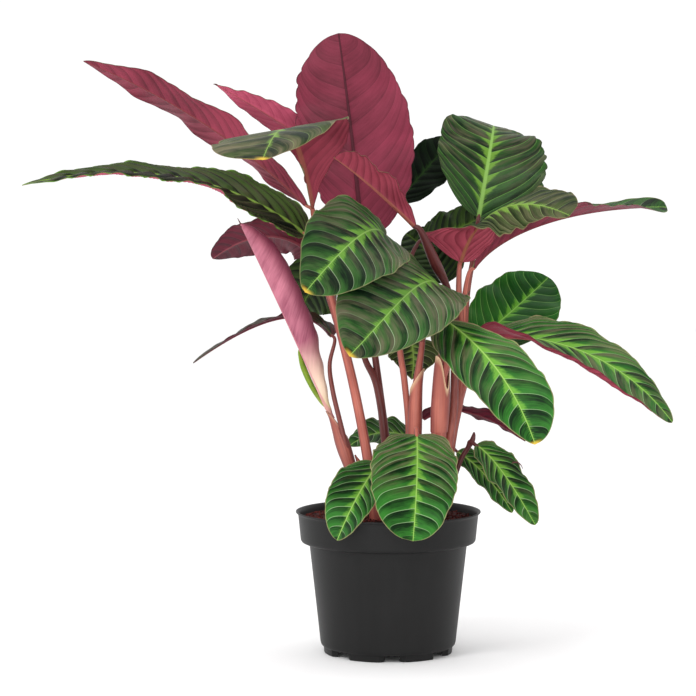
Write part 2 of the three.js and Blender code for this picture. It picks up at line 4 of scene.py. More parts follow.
import bpy
import numpy as np
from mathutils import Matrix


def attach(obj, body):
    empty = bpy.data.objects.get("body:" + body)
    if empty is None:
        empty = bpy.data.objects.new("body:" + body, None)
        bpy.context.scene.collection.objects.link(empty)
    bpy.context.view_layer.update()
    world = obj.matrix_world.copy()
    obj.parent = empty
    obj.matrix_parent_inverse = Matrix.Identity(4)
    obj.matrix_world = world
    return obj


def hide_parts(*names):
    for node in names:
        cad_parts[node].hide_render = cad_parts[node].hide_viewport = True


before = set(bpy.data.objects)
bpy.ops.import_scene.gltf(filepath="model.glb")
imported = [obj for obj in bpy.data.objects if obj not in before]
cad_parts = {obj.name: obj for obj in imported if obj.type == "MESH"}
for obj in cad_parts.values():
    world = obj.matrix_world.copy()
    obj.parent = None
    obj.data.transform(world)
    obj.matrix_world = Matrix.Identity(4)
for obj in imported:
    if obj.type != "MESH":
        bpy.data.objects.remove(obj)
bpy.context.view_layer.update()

MM = 0.001

# The outer share of a blade that can roll over.
ROLL = 0.2

# Leaves. The solid leaf has these too: the rib from base to tip, the way the upper face looks at
# equal steps along it, the largest half widths and the outline exponents of the left and right
# side, their fold and the curl in degrees, and the size, count and phase of the waves.
# The rest is finish:
#   upper, under  names of the two faces' finishes
#   veins, lean   side veins on each side, and how far they lean towards the tip
#   puff          how far the pleats between the veins stand out
#   lime, sheen_and_tint  reach of the lime feathering, and the painted grey sheen at base and tip
#   lines         strength of the vein lines on the left and right side
#   keel, spine   half width of the pale rib line, and girth of the rib underneath
#   ruffle, nick  waves of the margin, and its scallops on the left and right side
#   roll          degrees by which the left and right margin rolls over
#   tip, hair     a gold tip, and the length of the dry thread on a tip
LEAVES = {
    "back_tall": dict(rib=[(-27, 10, 423), (-36, 25, 518), (-51, 40, 635)], up=[(0.1, 1, 0.1)],
        half=(63, 59), shape=((0.6, 0.55), (0.85, 0.5)), fold=(8, 8), wave=(4, 4, 0),
        under="plum_tall", puff=0.4, nick=(0.02, 0.06), lean=0.3, spine=1.5),
    "left_spear": dict(rib=[(-82, 20, 457), (-190, 60, 543), (-321, 110, 610)],
        up=[(0.35, 0.5, 0.75)], half=(26, 29), shape=((0.8, 0.8), (0.8, 0.8)), fold=(20, 0),
        wave=(4, 3, 0), under="plum", veins=15, puff=0.6, lean=0.16, hair=5),
    "left_small": dict(rib=[(-62, 72, 512), (-124, 54, 552), (-177, 22, 582)],
        up=[(0.4, 0.8, 0.45)], half=(20, 18), shape=((0.5, 1), (0.5, 1)), fold=(5, 5),
        wave=(1, 2, 0), under="bright", veins=9, puff=0.4, hair=6),
    "left_arched": dict(
        rib=[(-77, -10, 453), (-92, -35, 540), (-104, -125, 556), (-122, -185, 503)],
        up=[(0, 0.9, 0.4), (-0.42, -0.1, 0.9), (-0.25, -0.7, 0.7)],
        half=((50, 50, 60, 75, 72, 66, 61, 59, 54, 38, 20), (64, 64, 64, 64, 64, 70, 84, 78, 66,
            57, 50)), shape=((1, 0.5), (2.5, 0.25)), fold=(-10, (-4, -4, 0, 8, 8, 4)),
        upper="olive", under="crimson", veins=11, sheen_and_tint=(0.8, 0.9), tip=True, spine=2.0, lime=12,
        ruffle=1.4),
    "centre_twisted": dict(rib=[(27, -50, 437), (-18, -66, 478), (-55, -84, 506)],
        up=[(0.4, 0.7, 0.5)], half=((24, 24, 24, 20, 21, 28), 24), shape=((0.8, 0.5), (0.6, 0.7)),
        fold=(20, 60), under="crimson", puff=0.6),
    "left_long": dict(rib=[(-85, -20, 429), (-208, -60, 486), (-358, -120, 479)],
        up=[(0.1, -0.7, 0.7), (0.1, -0.32, 0.93), (0.1, -0.25, 0.95)], half=(34, 38),
        shape=((0.45, 0.8), (0.3, 0.8)), fold=(10, 0), upper="long", under="bright", veins=14,
        puff=3.4, sheen_and_tint=(1.0, 0.8), lime=3, lean=0.16, nick=(0.05, 0.04), keel=2.8),
    "left_low": dict(rib=[(-83, 20, 413), (-130, 50, 426), (-185, 110, 401)], up=[(0, 0.8, 0.6)],
        half=(22, 32), shape=((0.4, 0.5), (0.4, 0.5)), under="plum_dark", puff=1.0),
    "left_rolled": dict(rib=[(-57, 0, 240), (-101, 0, 336), (-151, 10, 439)],
        up=[(0.95, 0.3, 0.4)], half=(39, 34), shape=((1.3, 0.65), (1.3, 0.65)), fold=(5, 5),
        curl=165, wave=(0, 1, 0), under="new_pink", veins=9, puff=0.3, hair=15),
    "centre_upper": dict(rib=[(-3, -30, 425), (-14, -85, 452), (-45, -130, 420), (-82, -170, 377)],
        up=[(0.6, 0.3, 0.7), (0.3, -0.6, 0.7), (0.4, -0.8, 0.5)],
        half=(53, (8, 11, 19, 31, 49, 52, 56, 59, 56, 49, 44)), shape=((0.5, 0.6), (0.1, 0.45)),
        fold=((0, -6, 0, 8, 10), (60, 30, 12, 8, 8)), lime=12, sheen_and_tint=(1.7, 0.2), tip=True,
        lines=(1.0, 0.4)),
    "centre_lower": dict(rib=[(59, -20, 366), (40, -70, 410), (8, -125, 362), (-40, -170, 316)],
        up=[(0.6, 0.3, 0.7), (0.3, -0.6, 0.7), (0.4, -0.8, 0.5)],
        half=((40, 42, 44, 50, 54, 57, 60, 61, 60, 56, 50), (50, 50, 44, 44, 50, 56, 60, 63, 66,
            66, 60)), shape=((0.3, 0.6), (0.5, 0.5)), veins=12, lime=12, sheen_and_tint=(1.5, 0.8), tip=True,
        lines=(1.0, 0.35), roll=((150, 120, 20, 0, 0, 0, 0), 0)),
    "right_hanging": dict(rib=[(56, -50, 344), (105, -130, 298), (138, -170, 231)],
        up=[(-0.1, -0.75, 0.65)], half=(35, 40), shape=((0.9, 0.5), (0.4, 0.7)), veins=9, lime=10,
        sheen_and_tint=(1.0, 0.0), upper="fresh", tip=True),
    "right_dark": dict(rib=[(92, 0, 325), (201, -40, 309), (282, -70, 243)],
        up=[(0.2, -0.5, 0.85)],
        half=((34, 40, 52, 43, 38, 33, 31, 26, 22, 19, 16), (45, 58, 36, 34, 34, 34, 45, 45, 37,
            34, 34)), shape=((0.6, 0.5), (0.5, 0.5)), fold=(10, (70, 8, 5, 5)), upper="fresh",
        under="crimson", veins=12, lime=13, sheen_and_tint=(1.2, 0.6), roll=(0, (0, 90, 130, 130, 110, 40))),
    "right_broad": dict(rib=[(93, 30, 319), (134, 60, 351), (170, 85, 382)],
        up=[(-0.3, -0.8, 0.5)], half=(42, (49, 49, 52, 58, 58, 58)),
        shape=((0.45, 0.5), (0.35, 0.68)), upper="broad", veins=9, lime=9, puff=0.35, ruffle=0.3,
        nick=(0, 0)),
    "back_right": dict(rib=[(93, 20, 446), (103, 20, 505), (110, 40, 541), (111, 75, 541)],
        up=[(-0.1, -0.95, 0.3), (-0.1, -0.6, 0.7)], half=(55, 64), shape=((0.6, 0.5), (0.48, 1.0)),
        fold=((10, 10, 10, 10, 22, 26), (10, 10, 10, 4, -12, -20)), upper="deep", veins=10,
        lime=13, puff=0.5, keel=2.6, nick=(0.01, 0.05), sheen_and_tint=(0.2, 1.5)),
    "right_arched": dict(rib=[(74, 0, 401), (86, -25, 455), (125, -75, 475), (176, -100, 449)],
        up=[(0.1, 0.95, 0.3), (0, 0.1, 0.97), (0.1, -0.4, 0.9), (0.1, -0.4, 0.9)],
        half=((33, 33, 33, 33, 33, 34, 33, 31, 30, 38, 34), (25, 62, 26, 14, 16, 28, 30, 29, 26,
            20, 18)), shape=((0.35, 0.22), (0.3, 0.4)),
        fold=((10, 12, 12, 22), (0, 0, 0, -26, -60, -66, -66, -60, -50, -35, -20)), upper="olive",
        under="rose", veins=12, lime=9, sheen_and_tint=(0.3, 0.6), puff=1.0, ruffle=1.5),
    "right_long": dict(rib=[(86, 13, 393), (106, 24, 424), (177, 44, 458), (291, 60, 456)],
        up=[(-0.4, 0.2, 0.9), (-0.4, 0.1, 0.9), (-0.3, 0.1, 0.9), (-0.3, 0, 0.9), (-0.3, 0, 0.9),
            (-0.3, -0.1, 0.9), (-0.3, -0.2, 0.9), (-0.3, -0.7, 0.7)],
        half=(26, (14, 16, 20, 24, 30, 34, 34, 34, 38, 42, 44)), shape=((1.2, 0.4), (0.6, 0.4)),
        fold=(5, (25, 50, 42, 24, 20, 20)), under="plum", veins=11, nick=(0.02, 0.3)),
    "back_striped": dict(rib=[(38, 50, 421), (72, 66, 433), (112, 84, 452)], up=[(0, -0.8, 0.6)],
        half=(24, 24), upper="shaded", veins=8, puff=1.2, lime=5),
    "back_striped_low": dict(rib=[(60, 58, 377), (46, 76, 404), (20, 98, 428)],
        up=[(0, -0.85, 0.5)], half=(32, 32), upper="shaded", veins=9, puff=1.6, lime=5),
    "back_dark": dict(rib=[(11, 90, 461), (41, 120, 495), (71, 150, 528)], up=[(0, -0.9, 0.4)],
        half=(26, 26), shape=((0.5, 0.5), (0.5, 0.5)), upper="deepest_shade", veins=8, puff=0.8, lime=4,
        ruffle=0.3),
    "left_thin": dict(rib=[(-58, 6, 325), (-111, 32, 342), (-201, 20, 296)], up=[(0, 0.1, 1)],
        half=(10, 24), upper="shaded_maroon", under="plum_dark", veins=11, lime=2, sheen_and_tint=(2.2, 0.4)),
    "back_shaded": dict(rib=[(-44, 50, 401), (-72, 75, 378), (-92, 90, 347)], up=[(0, -0.85, 0.5)],
        half=(40, 36), upper="shaded", veins=8, puff=1.4, lime=3),
    "back_drooping": dict(rib=[(25, 60, 317), (27, 55, 297), (25, 45, 277)], up=[(0, -0.9, 0.4)],
        half=(27, 27), shape=((0.5, 1), (0.5, 1)), upper="olive", veins=6, lime=7),
    "young_back": dict(rib=[(32, 70, 210), (-5, 60, 220), (-40, 50, 207)], up=[(0, -0.6, 0.8)],
        half=(20, 20), veins=8, lime=6),
    "young_right": dict(rib=[(37, 60, 235), (85, 60, 242), (144, 50, 212)], up=[(0, 0.5, 0.85)],
        half=(14, 15), shape=((0.25, 0.6), (0.25, 0.6)), upper="shaded", under="plum_dark",
        veins=9, lime=3),
    "rim_front": dict(rib=[(28, -45, 228), (27, -90, 190), (22, -135, 133)], up=[(0, -0.8, 0.6)],
        half=(41, 47), shape=((0.4, 0.42), (0.4, 0.4)), upper="fresh", veins=10, lime=10,
        sheen_and_tint=(1.4, 0.0)),
    "rim_left": dict(rib=[(-10, -35, 198), (-32, -75, 169), (-52, -95, 128)],
        up=[(-0.1, -0.85, 0.5)], half=(21, 30), upper="fresh", veins=9, lime=8, sheen_and_tint=(0.4, 0.0)),
    "rim_right": dict(rib=[(90, 0, 213), (116, -15, 187), (148, -40, 136)], up=[(0.3, -0.7, 0.6)],
        half=(21, 21), shape=((0.5, 0.5), (0.5, 0.5)), veins=9, lime=11, sheen_and_tint=(0.6, 0.2),
        upper="fresh"),
    "rim_right_small": dict(rib=[(72, 30, 203), (101, 20, 179), (128, 10, 142)],
        up=[(0.2, -0.8, 0.6)], half=(17, 15), veins=8, lime=8, upper="fresh"),
}

# Rows of x, y, z and radius of the knob over the right rim leaf, and of the dry thread on that
# leaf's margin.
TWIGS = [
    [(83, 5, 211, 2.6), (86, 3, 217, 3.0), (87.5, 2, 222, 2.2), (88, 2, 226, 1.0)],
    [(126, -14, 196, 0.8), (131, -14, 197, 0.7), (135, -13, 194, 0.5), (137, -13, 190, 0.3)],
]

# Rows of the narrow green leaf still rolled up beside the left shoot.
GREEN_BUD = [(-62, 6, 250, 1.2), (-69, 7, 257, 1.8), (-79, 8, 274, 2.9), (-87, 9, 292, 3.0),
             (-91, 9, 306, 1.6), (-91.5, 9, 311, 0.5)]

# Sheaths. Rows of the stalk that they wrap, the way the mouth looks in degrees about the upright,
# how far down it is cut, how narrow it is, how pale its lip is, and how ripe the sheath.
SHEATHS = {
    "sheath_left": ([(-39, -4, 190, 6.2), (-46, -3, 212, 7.0), (-51, -2, 227, 5.6),
                     (-56, -1, 240, 3.8), (-60, 0, 248, 3.2)], 0, 0.6, 1.5, 0.3, 0.4),
    "sheath_centre": ([(26.5, -2, 214, 7.2), (27.5, -3, 250, 6.3), (29, -4, 275, 5.2),
                       (31, -3, 292, 4.6)], 180, 0.4, 1.5, 0.8, 0.1),
    "sheath_right": ([(51.5, -15, 228, 8.6), (53, -15, 261, 8.7), (54, -18, 291, 7.3),
                      (55, -21, 306, 6.2)], -50, 0.55, 7, 1.0, 0.1),
}

# Shoots. Rows of x, y, z and radius from the soil up, the leaf that a stalk runs on into, its
# radius there, and how dark it has ripened: one tone, or one at the foot and one at the top.
SHOOTS = {
    "shoot_left": [
        ([(-28, -3, 124, 6.5), (-38, -4, 188, 5.6), (-46, -3, 212, 6.6), (-51, -2, 227, 5)],
         "left_rolled", 2, (0.6, 0.1)),
        ([(-40, -7, 200, 2.8), (-49, -8, 236, 2.6), (-57, -6, 270, 2.5), (-60, 0, 296, 2.2)],
         "left_thin", 1.6, 0.75),
        ([(-23, -1, 124, 3), (-28, 0, 185, 3.2), (-34, 0, 203, 0.8)], None, 0, 0.1),
    ],
    "shoot_front": [
        ([(-10, -10, 124, 8), (-21, -10, 199, 5.4), (-37, -10, 281, 4.8), (-59, -10, 369, 4),
          (-70, -12, 423, 3.4)], "left_arched", 2.5, 0.1),
        ([(-41, -8, 300, 3.5), (-60, 4, 375, 3.2), (-74, 12, 430, 2.6)], "left_spear", 1.8, 0.2),
        ([(-46, -11, 318, 3.5), (-64, -16, 385, 3.2)], "left_long", 2, 0.2),
        ([(-47, -9, 320, 3.5), (-64, 6, 375, 3)], "left_low", 1.8, 0.3),
        ([(-9, -16, 124, 3.2), (-6, -30, 170, 2.6)], "rim_left", 1.8, 0.1),
    ],
    "shoot_back": [
        ([(8, 32, 124, 6.5), (-5, 30, 236, 4.6), (-13, 36, 300, 3.6), (-22, 24, 360, 3.2)],
         "back_tall", 2.6, 0.9),
        ([(0, 29, 200, 4), (-11, 31, 270, 4), (-24, 35, 300, 3.2), (-38, 36, 350, 2.8),
          (-49, 36, 400, 2.6), (-59, 48, 450, 2.3)], "left_small", 1.6, 0.9),
        ([(-24, 35, 300, 2.5), (-36, 48, 350, 2.3)], "back_shaded", 1.6, 0.95),
        ([(-13, 37, 300, 2.8), (-17, 55, 330, 2.6), (-18, 75, 394, 2.4), (-10, 85, 436, 2.2)],
         "back_dark", 1.6, 1.0),
        ([(14, 34, 124, 3.2), (40, 64, 180, 2.5)], "young_back", 1.6, 0.8),
    ],
    "shoot_centre": [
        ([(22, 4, 124, 6), (21.5, 4, 218, 3.6), (17, 6, 275, 3.4), (12, 10, 310, 3.2),
          (6, 6, 370, 2.9)], "centre_upper", 2.2, 0.15),
        ([(26, -2, 124, 7.4), (26.5, -2, 218, 6.6), (27.5, -3, 250, 5.6), (29, -4, 275, 4.5),
          (35, 0, 319, 2.8)], None, 0, (0.0, 0.3)),
        ([(34, -1, 310, 2.6), (31, 16, 352, 2.5), (23, 34, 396, 2.3)], "back_striped", 1.8, 1.0),
        ([(34, 0, 316, 2.4), (46, 30, 350, 2.2)], "back_striped_low", 1.6, 0.5),
        ([(24, 6, 210, 2.6), (30, 56, 262, 2.2), (27, 71, 304, 2)], "back_drooping", 1.5, 0.6),
        ([(23, -7, 124, 4), (30, -36, 190, 3)], "rim_front", 2.2, 0.15),
    ],
    "shoot_right": [
        ([(46, -10, 124, 9), (51, -15, 222, 8), (53, -15, 261, 8), (54, -18, 291, 6.5),
          (60, -20, 335, 4.2)], "centre_lower", 2.6, 0.05),
        ([(54, -18, 280, 4.5), (60, -28, 308, 3.6)], "right_hanging", 2.2, 0.1),
        ([(50, -5, 124, 7), (62, -6, 217, 4.6), (67, -4, 255, 4.4), (67, -8, 310, 3.4)],
         None, 0, (0.0, 0.8)),
        ([(67, -7, 298, 3.2), (68, -6, 345, 3.3), (60, -8, 374, 3.4), (47, -29, 400, 5.6)],
         "centre_twisted", 2.4, 1.0),
        ([(52, 4, 124, 6.5), (66, 12, 217, 4.4), (74, 13, 262, 4.4), (77, 6, 310, 3.6),
          (72, -3, 365, 3.2)], "right_arched", 2.2, 0.25),
        ([(77, 7, 300, 3.2), (77, 2, 355, 3)], "right_long", 2, 0.05),
        ([(77, 9, 296, 3.2), (81, 18, 364, 3), (88, 30, 405, 2.6)], "back_right", 2, (0.1, 1.4)),
        ([(74, 14, 255, 3), (84, 24, 290, 2.6)], "right_broad", 1.8, 0.3),
        ([(75, 12, 262, 3), (86, 6, 300, 2.8)], "right_dark", 1.8, 0.3),
        ([(50, 6, 124, 3.5), (67, 5, 176, 2.8), (75, 5, 198, 2.5), (82, 5, 210, 2.6)],
         "rim_right", 2, 1.0),
        ([(64, 8, 160, 2.5), (70, 20, 185, 2)], "rim_right_small", 1.6, 0.9),
        ([(50, 10, 124, 3.2), (44, 50, 180, 2.5)], "young_right", 1.6, 0.6),
    ],
}

# A stalk aims at its leaf from this far behind the blade, runs on this far along the rib, and
# lies this far under the blade there.
RUN_IN = 7
RUN_ON = 3.0
TUCK = 1.3
# The height where the stalks start, and the one over which they change colour.
STALK_FOOT = 124
STALK_REACH = 330
# The ripeness of the twigs, and how far a sheath's inner and outer wall stand off its stalk.
RIPEST = 1.2
SHEATH_GAPS = (0.25, 0.9)

# Distances between the rows and columns of a blade's mesh, the blade's thickness at the rib, and
# the depth of the rib at its base.
ROW_STEP = 1.4
COLUMN_STEP = 1.7
BLADE = 0.62
RIB_DEPTH = 2.4

# The pot's profile, as radius and height from the land under it, round the foot, up the outside,
# over the lip and down the inside.
POT_OUTSIDE = [
    (19.7, 0.0), (20.0, 0.3), (20.3, 7.6), (20.8, 8.0), (60.8, 8.0), (61.4, 7.4), (61.9, 0.3),
    (62.2, 0.0), (65.5, 0.0), (65.9, 0.4), (66.3, 5.6), (66.8, 6.6), (68.0, 7.6), (68.9, 8.6),
    (69.4, 10.4), (69.7, 11.6), (80.9, 111.4), (81.2, 112.2), (81.9, 112.7), (86.9, 113.5),
    (88.7, 114.3), (89.7, 115.8), (90.0, 117.6), (92.3, 140.4), (92.6, 142.0), (93.3, 143.3),
    (94.4, 143.9), (94.8, 144.4), (94.9, 144.9), (94.7, 145.4), (94.2, 145.6), (93.2, 145.3),
    (92.0, 144.2), (91.2, 142.6), (90.8, 141.0), (88.5, 118.6), (88.1, 116.8), (86.7, 115.6),
    (80.5, 114.6), (79.5, 113.8), (68.1, 16.0), (66.4, 11.4), (64.8, 10.0),
]
POT_SIDES = 168
POT_CREASE = 35
# Notches and drain holes: how many, the turn of the first in degrees, the place and width of a
# notch's outer and inner end, its height, how far its walls lean, and a hole's radius, place and
# the heights that it passes through.
NOTCHES = 7
NOTCH_TURN = 3
NOTCH_ENDS = ((69.4, 46.8), (58, 5.8))
NOTCH_RISE = 7
NOTCH_LEAN = 1.5
HOLE = 5
HOLE_PLACE = 47
HOLE_ENDS = (2, 12)
HOLE_SIDES = 24

SOIL_TOP = 137.5
SOIL_FOOT = 10.6
SOIL_SIDES = 120
# The rings of the bed's top: how many, the innermost and outermost radius, and how high its waves
# and its grain stand.
SOIL_RINGS = 34
SOIL_REACH = (3, 89.4)
SOIL_WAVE = 0.28
SOIL_ROUGH = 0.35
# Radii and heights of the bed below its top, against the pot's inside.
SOIL_WALL = ((87.4, 119.0), (78.6, 112.5), (67.2, 16.0), (64.2, SOIL_FOOT))
# The disc that the crumbs lie on: its radii, its sides, and how far it is above the bed.
CRUMB_RADII = (30, 60, 88.4)
CRUMB_SIDES = 48
CRUMB_LIFT = 0.3


def ink(red, green, blue):
    """A colour as it is read on a screen, from 0 to 255, in the light values a shader takes."""
    parts = [v / 255 for v in (red, green, blue)]
    return tuple(v / 12.92 if v <= 0.04045 else ((v + 0.055) / 1.055) ** 2.4
                 for v in parts) + (1.0,)


def sums(operation):
    """A wire's method for one kind of sum."""
    return lambda wire, other: wire.sum(operation, other)


def turned_sums(operation):
    """The same with the wire as the second value, for sums such as 1 - mask."""
    return lambda wire, other: wire.home.node("ShaderNodeMath", {"operation": operation},
                                              {0: other, 1: wire})


class Wire:
    """A value inside a node tree. Sums on it add Math nodes."""

    __add__ = __radd__ = sums("ADD")
    __mul__ = __rmul__ = sums("MULTIPLY")
    __sub__, __rsub__ = sums("SUBTRACT"), turned_sums("SUBTRACT")
    __truediv__, __rtruediv__ = sums("DIVIDE"), turned_sums("DIVIDE")
    __pow__, __rpow__ = sums("POWER"), turned_sums("POWER")
    least = sums("MINIMUM")

    def __init__(self, home, socket):
        self.home = home
        self.socket = socket

    def sum(self, operation, *others, clamp=False):
        return self.home.node("ShaderNodeMath", {"operation": operation, "use_clamp": clamp},
                              dict(enumerate((self,) + others)))

    def fract(self):
        return self.sum("FRACT")

    def held(self):
        return self.sum("ADD", 0.0, clamp=True)

    def ease(self, low, high):
        """0 below low and 1 above high, with a soft passage between."""
        return self.home.node("ShaderNodeMapRange", {"interpolation_type": "SMOOTHSTEP"},
                              {"Value": self, "From Min": low, "From Max": high})


class Tree:
    """A node tree, filled through one method."""

    def node(self, kind, settings, inputs, output=0):
        made = self.tree.nodes.new(kind)
        for key, value in settings.items():
            setattr(made, key, value)
        for key, value in inputs.items():
            if isinstance(value, Wire):
                self.tree.links.new(value.socket, made.inputs[key])
            else:
                made.inputs[key].default_value = value
        return Wire(self, made.outputs[output])


class Finish(Tree):
    """A material around one Principled shader."""

    def __init__(self, name, **fixed):
        self.material = bpy.data.materials.new(name)
        self.material.use_nodes = True
        self.tree = self.material.node_tree
        self.shader = next(n for n in self.tree.nodes if n.type == "BSDF_PRINCIPLED")
        for socket, value in fixed.items():
            self.shader.inputs[socket.replace("_", " ")].default_value = value

    def reading(self, name):
        return self.node("ShaderNodeAttribute", {"attribute_name": name}, {}, "Fac")

    def place(self):
        return self.node("ShaderNodeTexCoord", {}, {}, "Object")

    def stretched(self, scale):
        return self.node("ShaderNodeMapping", {}, {"Vector": self.place(), "Scale": scale})

    def noise(self, place, scale, detail=2.0, rough=0.5):
        """Noise at a place, which is a wire or a row of values."""
        if not isinstance(place, Wire):
            place = self.node("ShaderNodeCombineXYZ", {}, dict(enumerate(place)))
        return self.node("ShaderNodeTexNoise", {}, {"Vector": place, "Scale": scale,
                                                     "Detail": detail, "Roughness": rough})

    def paint(self, colour, *coats):
        """A colour under coats, each a mask and a colour. Red, green and blue go up to 255."""
        for mask, coat in coats:
            low, high = [c if isinstance(c, Wire) else ink(*c) for c in (colour, coat)]
            colour = self.node("ShaderNodeMix", {"data_type": "RGBA", "clamp_factor": True},
                               {0: mask, 6: low, 7: high}, 2)
        return colour

    def feed(self, socket, wire):
        self.tree.links.new(wire.socket, self.shader.inputs[socket])

    def done(self, colour, roughness, height, strength, distance):
        """The material, from its colour, its roughness and its bumps."""
        self.feed("Base Color", colour)
        self.feed("Roughness", roughness)
        self.feed("Normal", self.node("ShaderNodeBump", {}, {
            "Height": height, "Strength": strength, "Distance": distance}))
        return self.material


def vein_readings(face):
    """The vein order, the beat from vein to vein, the way out from the rib, the run along it, and
    the gap to the nearest vein."""
    order = face.reading("vein")
    beat = order.fract()
    return (order, beat, face.reading("out"), face.reading("run"),
            beat.least(1.0 - beat) * face.reading("pitch"))


def leaf_face(name, ground, lit, sheen_and_tint, lime, vein, rib, rim, gloss=0.46, flame=1.0, shine=0.13,
              pleat_shading=0.7):
    """The feathered upper face of a leaf, with painted pleat shading and a painted grey sheen."""
    face = Finish(name, Specular_IOR_Level=shine)
    order, beat, out, run, gap = vein_readings(face)
    streak = face.noise((order * 6.0, out * 0.05, run * 2.0), 1.6, 3.0)
    hatch = face.noise((order * 24.0, out * 0.09, 5.0), 1.0)
    band = face.noise((order * 2.1, out * 0.03, 7.0), 1.2)
    uneven = face.noise((order * 0.9, 9.0), 1.0, 1.0)
    fray = face.noise((order * 15.0, out * 0.16, 3.0), 1.0, 3.0)
    cloud = face.noise(face.place(), 24.0, 3.0)
    mottle = face.noise(face.place(), 420.0)
    # Painted light and shade across each pleat, darker past a vein and lighter towards the next.
    light = (beat.ease(0.02, 0.9) * pleat_shading + (cloud - 0.5) * 1.8 + (streak - 0.5) * 1.2
             + (hatch - 0.5) * 0.5 + 0.3 - pleat_shading * 0.5 + face.reading("span") ** 5.0 * 0.4)
    # Painted grey sheen in bands and clouds; one finish puts a maroon tint here instead.
    grey = face.reading("sheen_and_tint") * (0.45 + (band - 0.5) * 4.2 + (cloud - 0.5) * 1.4
                                   + (hatch - 0.5) * 1.2)
    reach = (face.reading("feather") * (0.16 + beat ** 2.0 * 0.9 + (uneven - 0.5) * 1.5)
             + (fray - 0.5) * 11.0)
    flare = ((reach - out) / 4.5 + 0.3).held()
    line = gap.ease(0.62, 0.08) * face.reading("line")
    colour = face.paint(
        ground, (light, lit), (grey, sheen_and_tint), ((reach * 1.7 + 3.0 - out) / 9.0 * 0.4 * flame, lit),
        (flare * (0.5 + hatch * 0.6) * flame, lime),
        (line * (0.3 + cloud * 0.6) * run.ease(1.0, 0.85), vein),
        (face.reading("core").ease(1.0, 0.45) * 0.85, rib),
        (face.reading("edge").ease(1.0, 0.4) * 0.55, rim), (face.reading("gold"), (206, 172, 62)))
    return face.done(colour, gloss + (mottle - 0.5) * 0.16 + (cloud - 0.5) * 0.12,
                     mottle * 0.5 + hatch * 0.5 - line * 0.8, 0.35, 0.0005)


def leaf_back(name, dark, light, line, rib, cream=0.0, stripe=0.45):
    """The plum underside of a leaf."""
    face = Finish(name, Specular_IOR_Level=0.14)
    order, beat, out, run, gap = vein_readings(face)
    cloud = face.noise(face.place(), 16.0, 3.0)
    mottle = face.noise(face.place(), 380.0)
    streak = face.noise((order * 5.0, out * 0.05, run), 1.5, 3.0)
    hatch = face.noise((order * 20.0, out * 0.08, 5.0), 1.0)
    glow = (beat.ease(0.0, 0.7) * stripe + (cloud - 0.5) * 1.8 + (streak - 0.5) * 0.6
            + (hatch - 0.5) * 0.3 + 0.5 - stripe * 0.4)
    colour = face.paint(dark, (glow, light), (gap.ease(0.7, 0.1) * (0.05 + cloud * 0.5), line))
    if cream > 0:
        flank = face.reading("span").ease(0.35, 0.8) * (cloud * 1.6 - 0.1)
        colour = face.paint(
            colour, ((cream - run + (cloud - 0.5) * 0.2 + 0.12) / 0.26, (226, 200, 176)),
            (run.ease(0.16, 0.02) * 0.8, (196, 186, 112)),
            (flank * run.ease(0.2, 0.5), (112, 40, 66)))
    ridge = face.reading("keel").ease(1.0, 0.6)
    colour = face.paint(colour, (ridge * (0.75 + (hatch - 0.5) * 0.7), rib),
                        (face.reading("edge").ease(1.0, 0.3) * 0.6, line))
    return face.done(colour, 0.52 + (mottle - 0.5) * 0.15,
                     mottle * 0.4 + gap.ease(1.2, 0.0) * -0.6 + streak * 0.8 + hatch * 0.4,
                     0.35, 0.0005)


UPPER = {
    "fresh": leaf_face("leaf_fresh_green", (3, 32, 5), (46, 112, 36), (104, 102, 72),
                       (108, 162, 56), (154, 190, 136), (148, 188, 92), (164, 148, 108)),
    "plain": leaf_face("leaf_green", (2, 24, 5), (50, 96, 38), (92, 90, 68), (102, 150, 54),
                       (156, 178, 140), (134, 172, 86), (136, 130, 90)),
    "olive": leaf_face("leaf_olive", (16, 30, 10), (62, 78, 36), (98, 92, 68), (112, 150, 58),
                       (134, 152, 98), (124, 154, 72), (136, 116, 84)),
    "deep": leaf_face("leaf_deep_green", (3, 24, 3), (38, 78, 24), (74, 70, 52), (108, 150, 50),
                      (96, 142, 66), (124, 162, 80), (40, 52, 22), 0.4, flame=0.8, pleat_shading=0.6),
    "broad": leaf_face("leaf_rich_green", (8, 58, 8), (34, 98, 24), (78, 74, 54), (94, 154, 44),
                       (116, 166, 84), (122, 170, 74), (96, 104, 40), 0.4, pleat_shading=0.3),
    "long": leaf_face("leaf_long_green", (8, 15, 3), (54, 76, 24), (60, 58, 40), (80, 112, 32),
                      (24, 36, 12), (120, 152, 60), (100, 144, 46), 0.42, flame=0.7, pleat_shading=1.4),
    "shaded": leaf_face("leaf_in_shade", (10, 24, 8), (52, 76, 28), (54, 56, 38), (84, 116, 36),
                        (58, 84, 38), (86, 114, 44), (42, 50, 24), 0.45, pleat_shading=0.8),
    # A copy of the green painted darker for a leaf in shade, with a maroon tint in place of the
    # sheen.
    "shaded_maroon": leaf_face("leaf_in_shade_maroon", (10, 20, 8), (46, 62, 26), (80, 26, 36), (72, 92, 30),
                      (46, 50, 28), (80, 86, 44), (64, 24, 30), 0.45, pleat_shading=0.8),
    # A near-black copy of the green, painted dark for a leaf deep in shade.
    "deepest_shade": leaf_face("leaf_in_deepest_shade", (3, 9, 3), (12, 28, 10), (14, 17, 9), (30, 54, 20),
                       (22, 40, 16), (30, 52, 18), (14, 18, 9), 0.55, shine=0.05),
}
